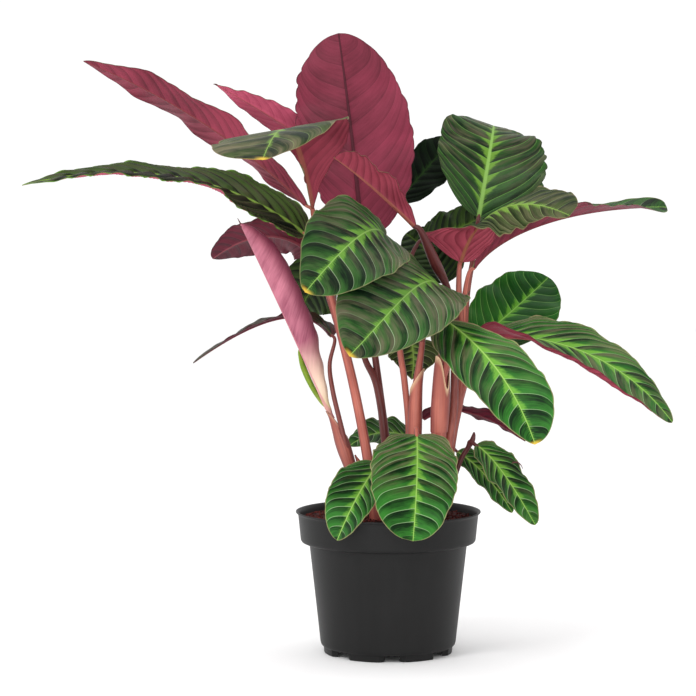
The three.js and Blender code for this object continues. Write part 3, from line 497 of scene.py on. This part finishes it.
UNDER = {
    "plum": leaf_back("underside_plum", (80, 24, 36), (132, 50, 68), (62, 18, 28),
                      (112, 48, 50)),
    "plum_tall": leaf_back("underside_deep_plum", (80, 22, 36), (128, 46, 66), (54, 16, 26),
                           (52, 18, 26), stripe=0.25),
    "plum_dark": leaf_back("underside_dark_plum", (52, 14, 26), (100, 32, 48), (42, 12, 20),
                           (130, 60, 68)),
    "crimson": leaf_back("underside_crimson", (92, 28, 40), (146, 58, 74), (72, 20, 30),
                         (144, 84, 68)),
    "rose": leaf_back("underside_rose", (110, 34, 48), (166, 72, 88), (82, 24, 34),
                      (140, 90, 60), stripe=0.6),
    "bright": leaf_back("underside_bright_crimson", (136, 42, 66), (190, 84, 110),
                        (112, 32, 52), (166, 78, 88), stripe=0.2),
    "new_pink": leaf_back("underside_new_leaf", (108, 40, 64), (204, 128, 146), (136, 62, 84),
                          (190, 122, 132), cream=0.3, stripe=0.15),
}


def stalk_skin():
    """Smooth salmon stalk that ripens to maroon, with lengthwise streaks and pale mouths."""
    skin = Finish("stalk_skin", Specular_IOR_Level=0.35)
    ripe, rise, turn = [skin.reading(key) for key in ("ripe", "rise", "turn")]
    streak = skin.noise((turn * 9.0, rise * 1.5, ripe * 7.0), 2.2, 3.0)
    fine = skin.noise((turn * 34.0, rise * 3.0, 4.0), 1.0)
    cloud = skin.noise(skin.place(), 30.0, 3.0)
    speck = skin.noise(skin.place(), 600.0)
    maroon = skin.paint((50, 16, 20), (streak * 0.9 + cloud * 0.5 - 0.3, (118, 52, 50)))
    # The flank coat is painted shade, maroon on the sides that face left and right.
    colour = skin.paint(
        (140, 60, 52), (streak * 1.3 + cloud * 0.8 - 0.55, (208, 124, 104)),
        (fine.ease(0.52, 0.72) * 0.45, (140, 74, 76)), ((rise - 0.85) * 1.2, (176, 112, 78)),
        (skin.reading("flank").ease(0.45, 1.0) * (0.3 + streak * 0.9), (118, 50, 50)),
        (ripe, maroon), (rise.ease(0.1, 0.0) * 0.5, (112, 50, 48)),
        (skin.reading("mouth"), (222, 190, 150)))
    return skin.done(colour, 0.4 + (speck - 0.5) * 0.12, streak + speck * 0.3, 0.25, 0.0006)


def bud_skin():
    """Fresh yellow-green with lengthwise veins."""
    skin = Finish("bud_green", Specular_IOR_Level=0.2)
    rise = skin.reading("rise")
    fine = skin.noise((skin.reading("turn") * 20.0, rise * 12.0, 2.0), 1.0)
    cloud = skin.noise(skin.place(), 120.0)
    colour = skin.paint((58, 96, 22), (fine * 0.9 + cloud * 0.5 - 0.2, (140, 164, 48)),
                        (rise.ease(0.44, 0.36) * 0.7, (188, 186, 112)))
    return skin.done(colour, 0.42 + cloud * 0.1, fine, 0.3, 0.0005)


def soil_grain(name, dark, light):
    """Damp red-brown potting soil."""
    grain = Finish(name, Specular_IOR_Level=0.25)
    big = grain.noise(grain.place(), 160.0, 4.0, 0.65)
    small = grain.noise(grain.place(), 900.0, 3.0, 0.6)
    fibre = grain.noise(grain.stretched((420.0, 90.0, 300.0)), 1.0)
    glow = big.ease(0.35, 0.7) * 0.6 + small * 0.3 + grain.reading("shade") * 0.45 - 0.2
    colour = grain.paint(dark, (glow, light), (fibre.ease(0.68, 0.78) * 0.7, (150, 92, 70)))
    return grain.done(colour, 0.82 + small * 0.15, big * 0.6 + small, 0.6, 0.001)


def pot_plastic():
    """Black moulded plastic with a soft sheen and a very fine grain."""
    plastic = Finish("black_pot_plastic", Specular_IOR_Level=0.2)
    grain = plastic.noise(plastic.place(), 1400.0)
    cloud = plastic.noise(plastic.place(), 14.0, 3.0)
    drawn = plastic.noise(plastic.stretched((90.0, 90.0, 6.0)), 1.0, 3.0)
    scuff = plastic.noise(plastic.stretched((30.0, 30.0, 900.0)), 1.0)
    colour = plastic.paint((12, 12, 12), (cloud * 0.5 + drawn * 0.3, (33, 33, 33)),
                           (scuff.ease(0.72, 0.8) * 0.2, (60, 58, 56)))
    return plastic.done(colour, 0.44 + cloud * 0.1 + (grain - 0.5) * 0.1,
                        grain * 0.5 + drawn * 0.4, 0.2, 0.0004)


def make_piece(name, points, faces, materials, which=None, readings=None, uv=None, sharp=60):
    """A mesh object at the origin, from points in millimetres and faces by index."""
    mesh = bpy.data.meshes.new(name)
    mesh.from_pydata((np.array(points, float) * MM).tolist(), [], [tuple(f) for f in faces])
    for material in materials:
        mesh.materials.append(material)
    if which is not None:
        mesh.polygons.foreach_set("material_index", np.asarray(which, dtype=np.int32))
    for key, values in (readings or {}).items():
        layer = mesh.attributes.new(key, "FLOAT", "POINT")
        layer.data.foreach_set("value", np.asarray(values, dtype=np.float32).ravel())
    if uv is not None:
        layer = mesh.uv_layers.new(name="UVMap")
        corner = np.zeros(len(mesh.loops), dtype=np.int32)
        mesh.loops.foreach_get("vertex_index", corner)
        layer.data.foreach_set("uv", np.asarray(uv, dtype=np.float32)[corner].ravel())
    mesh.polygons.foreach_set("use_smooth", np.ones(len(mesh.polygons), dtype=bool))
    mesh.set_sharp_from_angle(angle=math.radians(sharp))
    mesh.update()
    made = bpy.data.objects.new(name, mesh)
    bpy.context.scene.collection.objects.link(made)
    return made


def unit(v):
    return v / np.maximum(np.linalg.norm(v, axis=-1, keepdims=True), 1e-9)


def rib_line(rib, t):
    """Points and directions on a rib: base, middle and tip, or the four points of a cubic."""
    p = [np.array(q, float) for q in rib]
    t = np.asarray(t, float)[:, None]
    if len(p) == 3:
        a, m, b = p
        c = 2 * m - (a + b) / 2
        at = (1 - t) ** 2 * a + 2 * t * (1 - t) * c + t * t * b
        return at, unit(2 * (1 - t) * (c - a) + 2 * t * (b - c))
    a, c, d, b = p
    at = (1 - t) ** 3 * a + 3 * t * (1 - t) ** 2 * c + 3 * t * t * (1 - t) * d + t ** 3 * b
    return at, unit(3 * (1 - t) ** 2 * (c - a) + 6 * t * (1 - t) * (d - c) + 3 * t * t * (b - d))


def stepped(values, t):
    """Values at lengths t from one number, or from several at equal steps."""
    values = np.atleast_1d(np.array(values, float))
    return np.interp(t, np.linspace(0, 1, len(values)), values)


def vein_order(leaf, t, s, veins):
    """The count of side veins passed at each place of the blade. They lean towards the tip."""
    grid = np.linspace(-0.6, 1, 640)
    order = np.zeros((len(t), len(s)))
    for j, q in enumerate(s):
        w = abs(q)
        lean = leaf.get("lean", 0.24) * w * (1 + 0.5 * w ** 3)
        met = np.maximum.accumulate(grid + lean * (1 - grid) ** 0.7)
        order[:, j] = veins * np.interp(t, met, grid) + (0.35 if q > 0 else 0) + 3
    return order


def blade(leaf, t, s, beat, draw):
    """The smooth upper face at lengths t and sides s, in millimetres, with its half widths."""
    at, along = rib_line(leaf["rib"], t)
    hints = np.array(leaf["up"], float)
    if len(hints) == 1:
        hints = np.repeat(hints, 2, 0)
    steps = np.linspace(0, 1, len(hints))
    look = np.stack([np.interp(t, steps, hints[:, k]) for k in range(3)], -1)
    normal = unit(look - (look * along).sum(-1, keepdims=True) * along)
    across = np.cross(along, normal)
    size, count, phase = leaf.get("wave", (3, 3, 0))
    curl = math.radians(leaf.get("curl", 0))
    ends = np.clip(8 * t * (1 - t), 0, 1)
    points = np.zeros((len(t), len(s), 3))
    widest = max(np.max(half) for half in leaf["half"])
    halves = np.zeros((len(t), len(s)))
    ruffle = [sum(draw.uniform(0.3, 1) * np.sin(f * t + draw.uniform(0, 6.3))
                  for f in (9, 17, 31, 52)) for _ in range(4)]
    for j, q in enumerate(s):
        k = 0 if q < 0 else 1
        w = abs(q)
        rise, fall = leaf.get("shape", ((0.5, 0.6), (0.5, 0.6)))[k]
        top = rise / (rise + fall)
        half = (stepped(leaf["half"][k], t) * t ** rise * (1 - t) ** fall
                / (top ** rise * (1 - top) ** fall))
        half = np.maximum(half, 1.5 * (1 - t) + 0.4 * t)
        fold = np.radians(stepped(leaf.get("fold", (10, 10))[k], t))
        if curl > 0:
            x = (np.sin(fold + curl * w) - np.sin(fold)) / curl
            y = (np.cos(fold) - np.cos(fold + curl * w)) / curl
        else:
            flat = np.minimum(w, 1 - ROLL)
            bend = np.radians(stepped(leaf.get("roll", (0, 0))[k], t)) / ROLL + 1e-4
            past = fold + bend * (w - flat)
            x = np.cos(fold) * flat + (np.sin(past) - np.sin(fold)) / bend
            y = np.sin(fold) * flat + (np.cos(fold) - np.cos(past)) / bend
        wave = (size * w * w * np.sin(2 * np.pi * count * t + phase + k * 1.9)
                * np.minimum(1, 4 * t * (1 - t) + 0.2) * np.minimum(1, half / widest))
        nick = leaf.get("nick", (0.015, 0.015))[k]
        half = half * (1 - nick * w ** 6 * (1 - np.sin(np.pi * beat[:, j])) ** 1.5 * ends
                       + 0.014 * w ** 6 * ruffle[k] * ends)
        wave = wave + leaf.get("ruffle", 0.9) * w ** 5 * ruffle[k + 2] * ends
        points[:, j] = (at + across * (np.sign(q) * half * x)[:, None]
                        + normal * (half * y + wave)[:, None])
        halves[:, j] = half
    return points, halves


def make_leaf(name, leaf, seed):
    """A leaf blade with pleats between its side veins, a raised rib below and thin margins."""
    draw = np.random.default_rng(seed)
    at, _ = rib_line(leaf["rib"], np.linspace(0, 1, 60))
    length = np.linalg.norm(np.diff(at, axis=0), axis=1).sum()
    rows = int(np.clip(length / ROW_STEP, 48, 190))
    u = np.linspace(0, 1, rows)
    t = 0.55 * u + 0.225 * (1 - np.cos(np.pi * u))
    widest = max(np.max(half) for half in leaf["half"])
    count = 30 if leaf.get("curl") else int(np.clip(widest / COLUMN_STEP, 12, 36))
    side = np.linspace(0, 1, count) ** (1 if leaf.get("curl") else 1.25)
    s = np.concatenate([-side[::-1], side[1:]])
    veins = leaf.get("veins", 10)
    vein = vein_order(leaf, t, s, veins)
    beat = vein - np.floor(vein)
    points, halves = blade(leaf, t, s, beat, draw)
    run, side = np.meshgrid(t, s, indexing="ij")
    span = np.abs(side)
    out = span * halves
    normal = unit(np.cross(np.gradient(points, axis=1), np.gradient(points, axis=0)))
    bell = np.sin(np.pi * beat ** 0.8) ** 1.3
    held = np.clip(span / 0.16, 0, 1) ** 1.5 * (1 - 0.3 * span ** 4)
    ends = np.clip(np.minimum(run * 14, (1 - run) * 9), 0, 1)
    narrow = np.clip(halves / 18, 0.15, 1)
    puff = leaf.get("puff", 0.65) * bell * held * ends * narrow
    ridge = 0.35 * np.exp(-(out / (1.5 - run)) ** 2) * (1 - run)
    upper = points + normal * (puff + ridge)[..., None]
    spine = leaf.get("spine", 1.0)
    deep = ((RIB_DEPTH * (1 - run) ** 1.2 + 0.25) * (0.6 + 0.4 * spine)
            * np.exp(-(out / (2.1 * spine * (1 - run) + 0.5)) ** 2))
    sheet = BLADE - 0.3 * span ** 4
    lower = points + normal * (puff - sheet - deep * np.clip(halves / 3, 0.3, 1))[..., None]

    total = vein.size
    index = np.arange(total).reshape(vein.shape)
    a, b, c, d = index[:-1, :-1], index[:-1, 1:], index[1:, :-1], index[1:, 1:]
    top = np.stack([a, b, d, c], -1).reshape(-1, 4)
    below = np.stack([a, c, d, b], -1).reshape(-1, 4) + total
    ring = np.concatenate([index[0, :-1], index[:-1, -1], index[-1, :0:-1], index[:0:-1, 0]])
    after = np.roll(ring, -1)
    rim = np.stack([after, ring, ring + total, after + total], -1)
    which = np.repeat([0, 1, 0], [len(top), len(below), len(rim)])

    # The amount of painted grey sheen, from base to tip and stronger towards the margins.
    base, tip = leaf.get("sheen_and_tint", (0.2, 0.1))
    sheen_and_tint = (base + (tip - base) * np.clip((run - 0.15) / 0.6, 0, 1)) * (0.45 + 0.55 * span)
    feather = leaf.get("lime", 10) * np.clip(np.minimum(run * 6, (1 - run) * 2.2), 0, 1)
    gold = np.clip((run * length - length + 4.5) / 3.5, 0, 1) * float(leaf.get("tip", False))
    near, far = leaf.get("lines", (1.0, 1.0))
    readings = {
        "vein": vein, "out": out, "run": run, "span": span, "sheen_and_tint": sheen_and_tint,
        "feather": feather * np.clip(halves / 20, 0.2, 1.15),
        "gold": gold * np.clip(1.3 - out / 7, 0, 1), "pitch": np.full(out.shape, length / veins),
        "line": np.where(side < 0, near, far),
        "core": out / (leaf.get("keel", 1.1) * (1.15 - 0.75 * run)),
        "keel": out / (2.2 - 1.6 * run) / spine, "edge": (halves - out) / 1.2}
    both = {key: np.tile(values.ravel(), 2) for key, values in readings.items()}
    return make_piece(
        "calathea_" + name, np.concatenate([upper.reshape(-1, 3), lower.reshape(-1, 3)]),
        np.concatenate([top, below, rim]),
        [UPPER[leaf.get("upper", "plain")], UNDER[leaf.get("under", "plum_dark")]], which, both,
        np.stack([np.tile((side.ravel() + 1) / 2, 2), both["run"]], -1))


class Plan(Tree):
    """A Geometry Nodes tree with named inputs."""

    def __init__(self, name, **inputs):
        self.tree = bpy.data.node_groups.new(name, "GeometryNodeTree")
        new_socket = self.tree.interface.new_socket
        for way in ("OUTPUT", "INPUT"):
            new_socket("Geometry", in_out=way, socket_type="NodeSocketGeometry")
        self.keys = {}
        for key, (kind, value) in inputs.items():
            socket = new_socket(key, in_out="INPUT", socket_type=kind)
            if value is not None:
                socket.default_value = value
            self.keys[key] = socket.identifier
        self.source = self.tree.nodes.new("NodeGroupInput")

    def given(self, key):
        return Wire(self, self.source.outputs[key])

    def store(self, geometry, name, value, domain="POINT"):
        return self.node("GeometryNodeStoreNamedAttribute",
                         {"data_type": "FLOAT", "domain": domain},
                         {"Geometry": geometry, "Name": name, "Value": value})

    def end(self, geometry, material):
        """Closes the tree with plain geometry in the material of that input."""
        solid = self.node("GeometryNodeRealizeInstances", {}, {"Geometry": geometry})
        skin = self.node("GeometryNodeSetMaterial", {},
                         {"Geometry": solid, "Material": self.given(material)})
        sink = self.tree.nodes.new("NodeGroupOutput")
        self.tree.links.new(skin.socket, sink.inputs["Geometry"])
        return self

    def grow(self, name, seed_object, **values):
        """The tree's result on an object, as a plain mesh object of its own."""
        bpy.context.scene.collection.objects.link(seed_object)
        modifier = seed_object.modifiers.new("Plan", "NODES")
        modifier.node_group = self.tree
        for key, value in values.items():
            modifier[self.keys[key]] = value
        bpy.context.view_layer.update()
        ready = seed_object.evaluated_get(bpy.context.evaluated_depsgraph_get())
        mesh = bpy.data.meshes.new_from_object(ready)
        mesh.name = name
        seed_object.modifiers.clear()
        bpy.data.objects.remove(seed_object)
        made = bpy.data.objects.new(name, mesh)
        bpy.context.scene.collection.objects.link(made)
        return made


def stalk_plan():
    """Round tubes along paths, with the girth that the paths carry."""
    plan = Plan("Stalk tubes", Sides=("NodeSocketInt", 16), Skin=("NodeSocketMaterial", None))
    curve = plan.node("GeometryNodeMeshToCurve", {}, {"Mesh": plan.given("Geometry")})
    girth = plan.node("GeometryNodeInputNamedAttribute", {"data_type": "FLOAT"},
                      {"Name": "girth"})
    curve = plan.node("GeometryNodeSetCurveRadius", {}, {"Curve": curve, "Radius": girth})
    ring = plan.node("GeometryNodeCurvePrimitiveCircle", {"mode": "RADIUS"},
                     {"Resolution": plan.given("Sides"), "Radius": 1.0})
    ring = plan.store(ring, "turn", plan.node("GeometryNodeSplineParameter", {}, {}, "Factor"))
    tube = plan.node("GeometryNodeCurveToMesh", {},
                     {"Curve": curve, "Profile Curve": ring, "Scale": girth, "Fill Caps": True})
    # How far the tube faces left or right, for the painted shade on a stalk's sides.
    facing = plan.node("GeometryNodeInputNormal", {}, {})
    across = plan.node("ShaderNodeSeparateXYZ", {}, {"Vector": facing}, "X")
    tube = plan.store(tube, "flank", across.sum("ABSOLUTE"))
    smooth = plan.node("GeometryNodeSetShadeSmooth", {}, {"Geometry": tube})
    return plan.end(smooth, "Skin")


def crumb_plan():
    """Small lumps scattered over a bed."""
    plan = Plan("Soil crumbs", Density=("NodeSocketFloat", 60000.0), Seed=("NodeSocketInt", 3),
                Size=("NodeSocketFloat", 0.0016), Grain=("NodeSocketMaterial", None))
    spots = plan.node("GeometryNodeDistributePointsOnFaces", {},
                      {"Mesh": plan.given("Geometry"), "Density": plan.given("Density"),
                       "Seed": plan.given("Seed")})
    lump = plan.node("GeometryNodeMeshIcoSphere", {}, {"Radius": plan.given("Size"),
                                                       "Subdivisions": 1})
    turn = plan.node("FunctionNodeRandomValue", {"data_type": "FLOAT_VECTOR"},
                     {0: (0.0, 0.0, 0.0), 1: (6.3, 6.3, 6.3), "Seed": 11})
    girth = plan.node("FunctionNodeRandomValue", {"data_type": "FLOAT_VECTOR"},
                      {0: (0.35, 0.35, 0.3), 1: (1.5, 1.1, 0.8), "Seed": 12})
    shade = plan.node("FunctionNodeRandomValue", {"data_type": "FLOAT"},
                      {2: 0.0, 3: 1.0, "Seed": 13}, 1)
    lumps = plan.node("GeometryNodeInstanceOnPoints", {},
                      {"Points": spots, "Instance": lump, "Rotation": turn, "Scale": girth})
    return plan.end(plan.store(lumps, "shade", shade, "INSTANCE"), "Grain")


def smooth_path(rows, steps=10):
    """A smooth path through rows of x, y, z and radius."""
    p = np.array(rows, float)
    q = np.vstack([2 * p[0] - p[1], p, 2 * p[-1] - p[-2]])
    path = []
    for i in range(1, len(q) - 2):
        a, b, c, d = q[i - 1], q[i], q[i + 1], q[i + 2]
        for u in np.arange(steps) / steps:
            path.append(0.5 * (2 * b + (c - a) * u + (2 * a - 5 * b + 4 * c - d) * u * u
                               + (3 * b - a - 3 * c + d) * u ** 3))
    path.append(p[-1])
    return np.array(path)


def path_object(name, paths):
    """Open chains of edges, each point with its girth, its share of the rise and its ripeness."""
    points, edges, girth, rise, ripe = [], [], [], [], []
    for path, tone in paths:
        start = len(points)
        points += [tuple(row[:3] * MM) for row in path]
        edges += [(start + k, start + k + 1) for k in range(len(path) - 1)]
        girth += [row[3] * MM for row in path]
        rise += [(row[2] - STALK_FOOT) / STALK_REACH for row in path]
        ripe += list(np.linspace(*np.broadcast_to(tone, 2), len(path)))
    mesh = bpy.data.meshes.new(name)
    mesh.from_pydata(points, edges, [])
    for key, values in (("girth", girth), ("rise", rise), ("ripe", ripe)):
        mesh.attributes.new(key, "FLOAT", "POINT").data.foreach_set("value", values)
    return bpy.data.objects.new(name, mesh)


def stalk_path(rows, leaf, end):
    """A stalk's path, run on under the rib of its leaf."""
    if leaf is None:
        return smooth_path(rows)
    at, along = rib_line(LEAVES[leaf]["rib"], np.array([0.0]))
    look = np.array(LEAVES[leaf]["up"][0], float)
    normal = unit(look - (look * along[0]).sum() * along[0])
    size = rows[-1][3] + (end - rows[-1][3]) * 0.7
    before = tuple(at[0] - RUN_IN * along[0]) + (size,)
    last = tuple(at[0] + RUN_ON * along[0] - normal * TUCK) + (end * 0.92,)
    return smooth_path(list(rows) + [before, last])


def make_sheath(name, rows, turn, cut, slit, pale, ripe, skin):
    """A thin sheath around a stalk, with a mouth that is cut lowest on one side."""
    path = smooth_path(rows, 12)
    levels, around = 40, 48
    angle = np.linspace(0, 2 * np.pi, around, endpoint=False)
    height = 1 - cut * (0.5 + 0.5 * np.cos(angle - math.radians(turn))) ** slit
    place = np.arange(len(path))
    walls, mouth = [], []
    for gap in SHEATH_GAPS:
        for i in range(levels):
            up = np.linspace(0, 1, levels)[i] * height
            row = [np.interp(up * (len(path) - 1), place, path[:, k]) for k in range(4)]
            flare = row[3] + gap * (0.4 + 0.6 * min(1.0, i / 6)) + 0.5 * (i / levels) ** 6
            walls.append(np.stack([row[0] + flare * np.cos(angle), row[1] + flare * np.sin(angle),
                                   row[2]], -1))
            mouth += [pale * max(0.0, i / (levels - 1) * 5 - 4)] * around
    points = np.concatenate(walls)
    inner = np.arange(levels * around).reshape(levels, around)
    outer = inner + levels * around
    faces = []
    for low, high, inward in ((inner[:-1], inner[1:], True), (outer[:-1], outer[1:], False),
                              (inner[0], outer[0], False), (inner[-1], outer[-1], True)):
        a, b, c, d = low, np.roll(low, -1, -1), high, np.roll(high, -1, -1)
        faces += np.stack([a, c, d, b] if inward else [a, b, d, c], -1).reshape(-1, 4).tolist()
    # The flank reading is for the painted shade on the sheath's left and right sides.
    return make_piece(name, points, faces, [skin], readings={
        "rise": (points[:, 2] - STALK_FOOT) / STALK_REACH, "ripe": [ripe] * len(points),
        "mouth": mouth, "turn": np.tile(angle / (2 * np.pi), 2 * levels),
        "flank": np.tile(abs(np.cos(angle)), 2 * levels)})


def ring(radius, height, sides):
    """Points of a level circle about the pot's axis."""
    turns = [2 * math.pi * k / sides for k in range(sides)]
    return [(radius * math.cos(turn), radius * math.sin(turn), height) for turn in turns]


def ring_faces(rings, sides, inward=False):
    """Faces of a body of rings. The points on the axis that close its ends come after them."""
    low, high, last = rings * sides, rings * sides + 1, (rings - 1) * sides
    faces = []
    for i in range(rings - 1):
        for k in range(sides):
            a, b = i * sides + k, i * sides + (k + 1) % sides
            faces.append((a, b, b + sides, a + sides))
    for k in range(sides):
        after = (k + 1) % sides
        faces += [(low, after, k), (high, last + k, last + after)]
    return [(face[0],) + face[:0:-1] for face in faces] if inward else faces


def notch_tool():
    """Points and faces of the tapered notches and the drain holes under the pot."""
    notch = []
    for place, wide in NOTCH_ENDS:
        half = wide / 2
        notch += [(-half, -place, -NOTCH_RISE), (half, -place, -NOTCH_RISE),
                  (half - NOTCH_LEAN, -place, NOTCH_RISE), (NOTCH_LEAN - half, -place, NOTCH_RISE)]
    hole = [(x, y - HOLE_PLACE, z) for h in HOLE_ENDS for x, y, z in ring(HOLE, h, HOLE_SIDES)]
    box = [(0, 1, 2, 3), (5, 4, 7, 6), (1, 5, 6, 2), (4, 0, 3, 7), (3, 2, 6, 7), (4, 5, 1, 0)]
    drum = [tuple(range(HOLE_SIDES))[::-1], tuple(range(HOLE_SIDES, 2 * HOLE_SIDES))]
    drum += ring_faces(2, HOLE_SIDES)[:HOLE_SIDES]
    points, faces = [], []
    for n in range(NOTCHES):
        turn = 2 * math.pi * n / NOTCHES + math.radians(NOTCH_TURN)
        c, s = math.cos(turn), math.sin(turn)
        for shape, sides in ((notch, box), (hole, drum)):
            faces += [tuple(len(points) + k for k in side) for side in sides]
            points += [(x * c - y * s, x * s + y * c, z) for x, y, z in shape]
    return points, faces


def make_pot(plastic):
    """The turned pot, with its notches and drain holes cut out."""
    points = [p for r, z in POT_OUTSIDE for p in ring(r, z, POT_SIDES)]
    points += [(0, 0, POT_OUTSIDE[0][1]), (0, 0, POT_OUTSIDE[-1][1])]
    pot = make_piece("nursery_pot", points, ring_faces(len(POT_OUTSIDE), POT_SIDES), [plastic],
                     sharp=POT_CREASE)
    tool = make_piece("notch_tool", *notch_tool(), [plastic])
    cut = pot.modifiers.new("Notches", "BOOLEAN")
    cut.operation = "DIFFERENCE"
    cut.solver = "EXACT"
    cut.object = tool
    bpy.context.view_layer.update()
    mesh = bpy.data.meshes.new_from_object(
        pot.evaluated_get(bpy.context.evaluated_depsgraph_get()))
    mesh.name = "nursery_pot"
    pot.modifiers.clear()
    pot.data = mesh
    bpy.data.objects.remove(tool)
    mesh.set_sharp_from_angle(angle=math.radians(POT_CREASE))
    return pot


def make_soil(grain):
    """The filled bed with an uneven top."""
    draw = np.random.default_rng(5)
    waves = draw.uniform(0, 6.3, (14, 2))
    points = []
    for r in np.linspace(*SOIL_REACH, SOIL_RINGS):
        for x, y, z in ring(r, SOIL_TOP, SOIL_SIDES):
            z += sum(SOIL_WAVE * math.sin(0.05 * (n + 2) * x + a)
                     * math.cos(0.045 * (n + 3) * y + b) for n, (a, b) in enumerate(waves))
            points.append((x, y, z + draw.uniform(-SOIL_ROUGH, SOIL_ROUGH)))
    for r, z in SOIL_WALL:
        points += ring(r, z, SOIL_SIDES)
    points += [(0, 0, SOIL_TOP), (0, 0, SOIL_FOOT)]
    faces = ring_faces(SOIL_RINGS + len(SOIL_WALL), SOIL_SIDES, inward=True)
    return make_piece("soil_bed", points, faces, [grain], readings={"shade": [0.3] * len(points)},
                      sharp=180)


def soil_top():
    """A plain disc just above the bed, for the crumbs to lie on."""
    points = [(0, 0, SOIL_TOP)]
    for r in CRUMB_RADII:
        points += ring(r, SOIL_TOP + CRUMB_LIFT, CRUMB_SIDES)
    faces = []
    for k in range(CRUMB_SIDES):
        a, b = 1 + k, 1 + (k + 1) % CRUMB_SIDES
        faces.append((0, a, b))
        for i in range(1, len(CRUMB_RADII)):
            faces.append((a, a + CRUMB_SIDES, b + CRUMB_SIDES, b))
            a, b = a + CRUMB_SIDES, b + CRUMB_SIDES
    mesh = bpy.data.meshes.new("soil_top")
    mesh.from_pydata((np.array(points) * MM).tolist(), [], faces)
    return bpy.data.objects.new("soil_top", mesh)


plastic = pot_plastic()
pot = make_pot(plastic)
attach(pot, "root")
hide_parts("pot")

bed_grain = soil_grain("soil_bed_grain", (26, 9, 9), (84, 30, 26))
crumb_grain = soil_grain("soil_crumb_grain", (24, 9, 9), (112, 42, 36))
bed = make_soil(bed_grain)
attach(bed, "root")
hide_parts("soil")
crumbs = crumb_plan().grow("soil_crumbs", soil_top(), Density=90000.0, Seed=3, Size=0.0015,
                           Grain=crumb_grain)
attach(crumbs, "root")

tubes = stalk_plan()
skin = stalk_skin()
for name, stalks in SHOOTS.items():
    paths = [(stalk_path(rows, leaf, end), tone) for rows, leaf, end, tone in stalks]
    piece = tubes.grow("stalks_" + name[6:], path_object(name, paths), Sides=16, Skin=skin)
    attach(piece, "root")
    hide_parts(name)

for seed, (name, leaf) in enumerate(LEAVES.items()):
    piece = make_leaf(name, leaf, seed)
    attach(piece, "root")
    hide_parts("leaf_" + name)

for name, rows in SHEATHS.items():
    piece = make_sheath(name, *rows, skin)
    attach(piece, "root")

hair_paths = [(smooth_path(rows), RIPEST) for rows in TWIGS]
for name, leaf in LEAVES.items():
    if "hair" in leaf:
        at, along = rib_line(leaf["rib"], np.array([0.985, 1.0]))
        steps = np.linspace(0, 1, 8)
        drop = np.array([0.1, 0.0, -0.25])
        path = [tuple(at[0] + (along[1] + drop * u) * (u * leaf["hair"]))
                + (0.9 * (1 - u) ** 0.8 + 0.15,) for u in steps]
        hair_paths.append((np.array(path), 1.0))
bud = tubes.grow("green_bud", path_object("green_bud_path", [(smooth_path(GREEN_BUD), 0.0)]),
                 Sides=16, Skin=bud_skin())
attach(bud, "root")
hairs = tubes.grow("leaf_tips", path_object("leaf_tip_paths", hair_paths), Sides=8, Skin=skin)
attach(hairs, "root")


def make_floor():
    """A white floor under the pot."""
    paint = Finish("studio_floor", Base_Color=(0.96, 0.96, 0.96, 1.0), Roughness=0.8)
    corners = [(x, y, -0.2) for x, y in ((-6e3, -6e3), (6e3, -6e3), (6e3, 6e3), (-6e3, 6e3))]
    floor = make_piece("studio_floor", corners, [(0, 1, 2, 3)], [paint.material])


def make_lamp(name, place, aim, size, power):
    """A flat lamp that faces the point it is aimed at."""
    lamp = bpy.data.lights.new(name, "AREA")
    lamp.shape = "RECTANGLE"
    lamp.size, lamp.size_y = size
    lamp.energy = power
    made = bpy.data.objects.new(name, lamp)
    bpy.context.scene.collection.objects.link(made)
    made.location = place
    way = np.array(aim, float) - np.array(place, float)
    from_up = math.acos(-way[2] / np.linalg.norm(way))
    made.rotation_euler = (from_up, 0, math.atan2(way[1], way[0]) - math.pi / 2)


make_floor()
make_lamp("key", (-1.7, -1.9, 1.9), (0, 0, 0.35), (1.0, 1.0), 36)
make_lamp("front", (0.0, -3.4, 0.7), (0, 0, 0.1), (1.0, 1.4), 24)
make_lamp("top", (0.2, 0.4, 2.6), (0, 0, 0.3), (1.8, 1.8), 8)

world = bpy.data.worlds.new("studio")
bpy.context.scene.world = world
world.use_nodes = True
back = next(n for n in world.node_tree.nodes if n.type == "BACKGROUND")
back.inputs["Color"].default_value = (1, 1, 1, 1)
back.inputs["Strength"].default_value = 1.05

view = bpy.data.cameras.new("photo_view")
view.lens = 131.8
view.sensor_width = 36
view.clip_end = 30
camera = bpy.data.objects.new("photo_view", view)
bpy.context.scene.collection.objects.link(camera)
camera.location = (-0.0413, -2.6, 0.479)
camera.rotation_euler = (math.pi / 2 - math.radians(3.66), 0, 0)
bpy.context.scene.camera = camera
bpy.context.scene.view_settings.view_transform = "Standard"
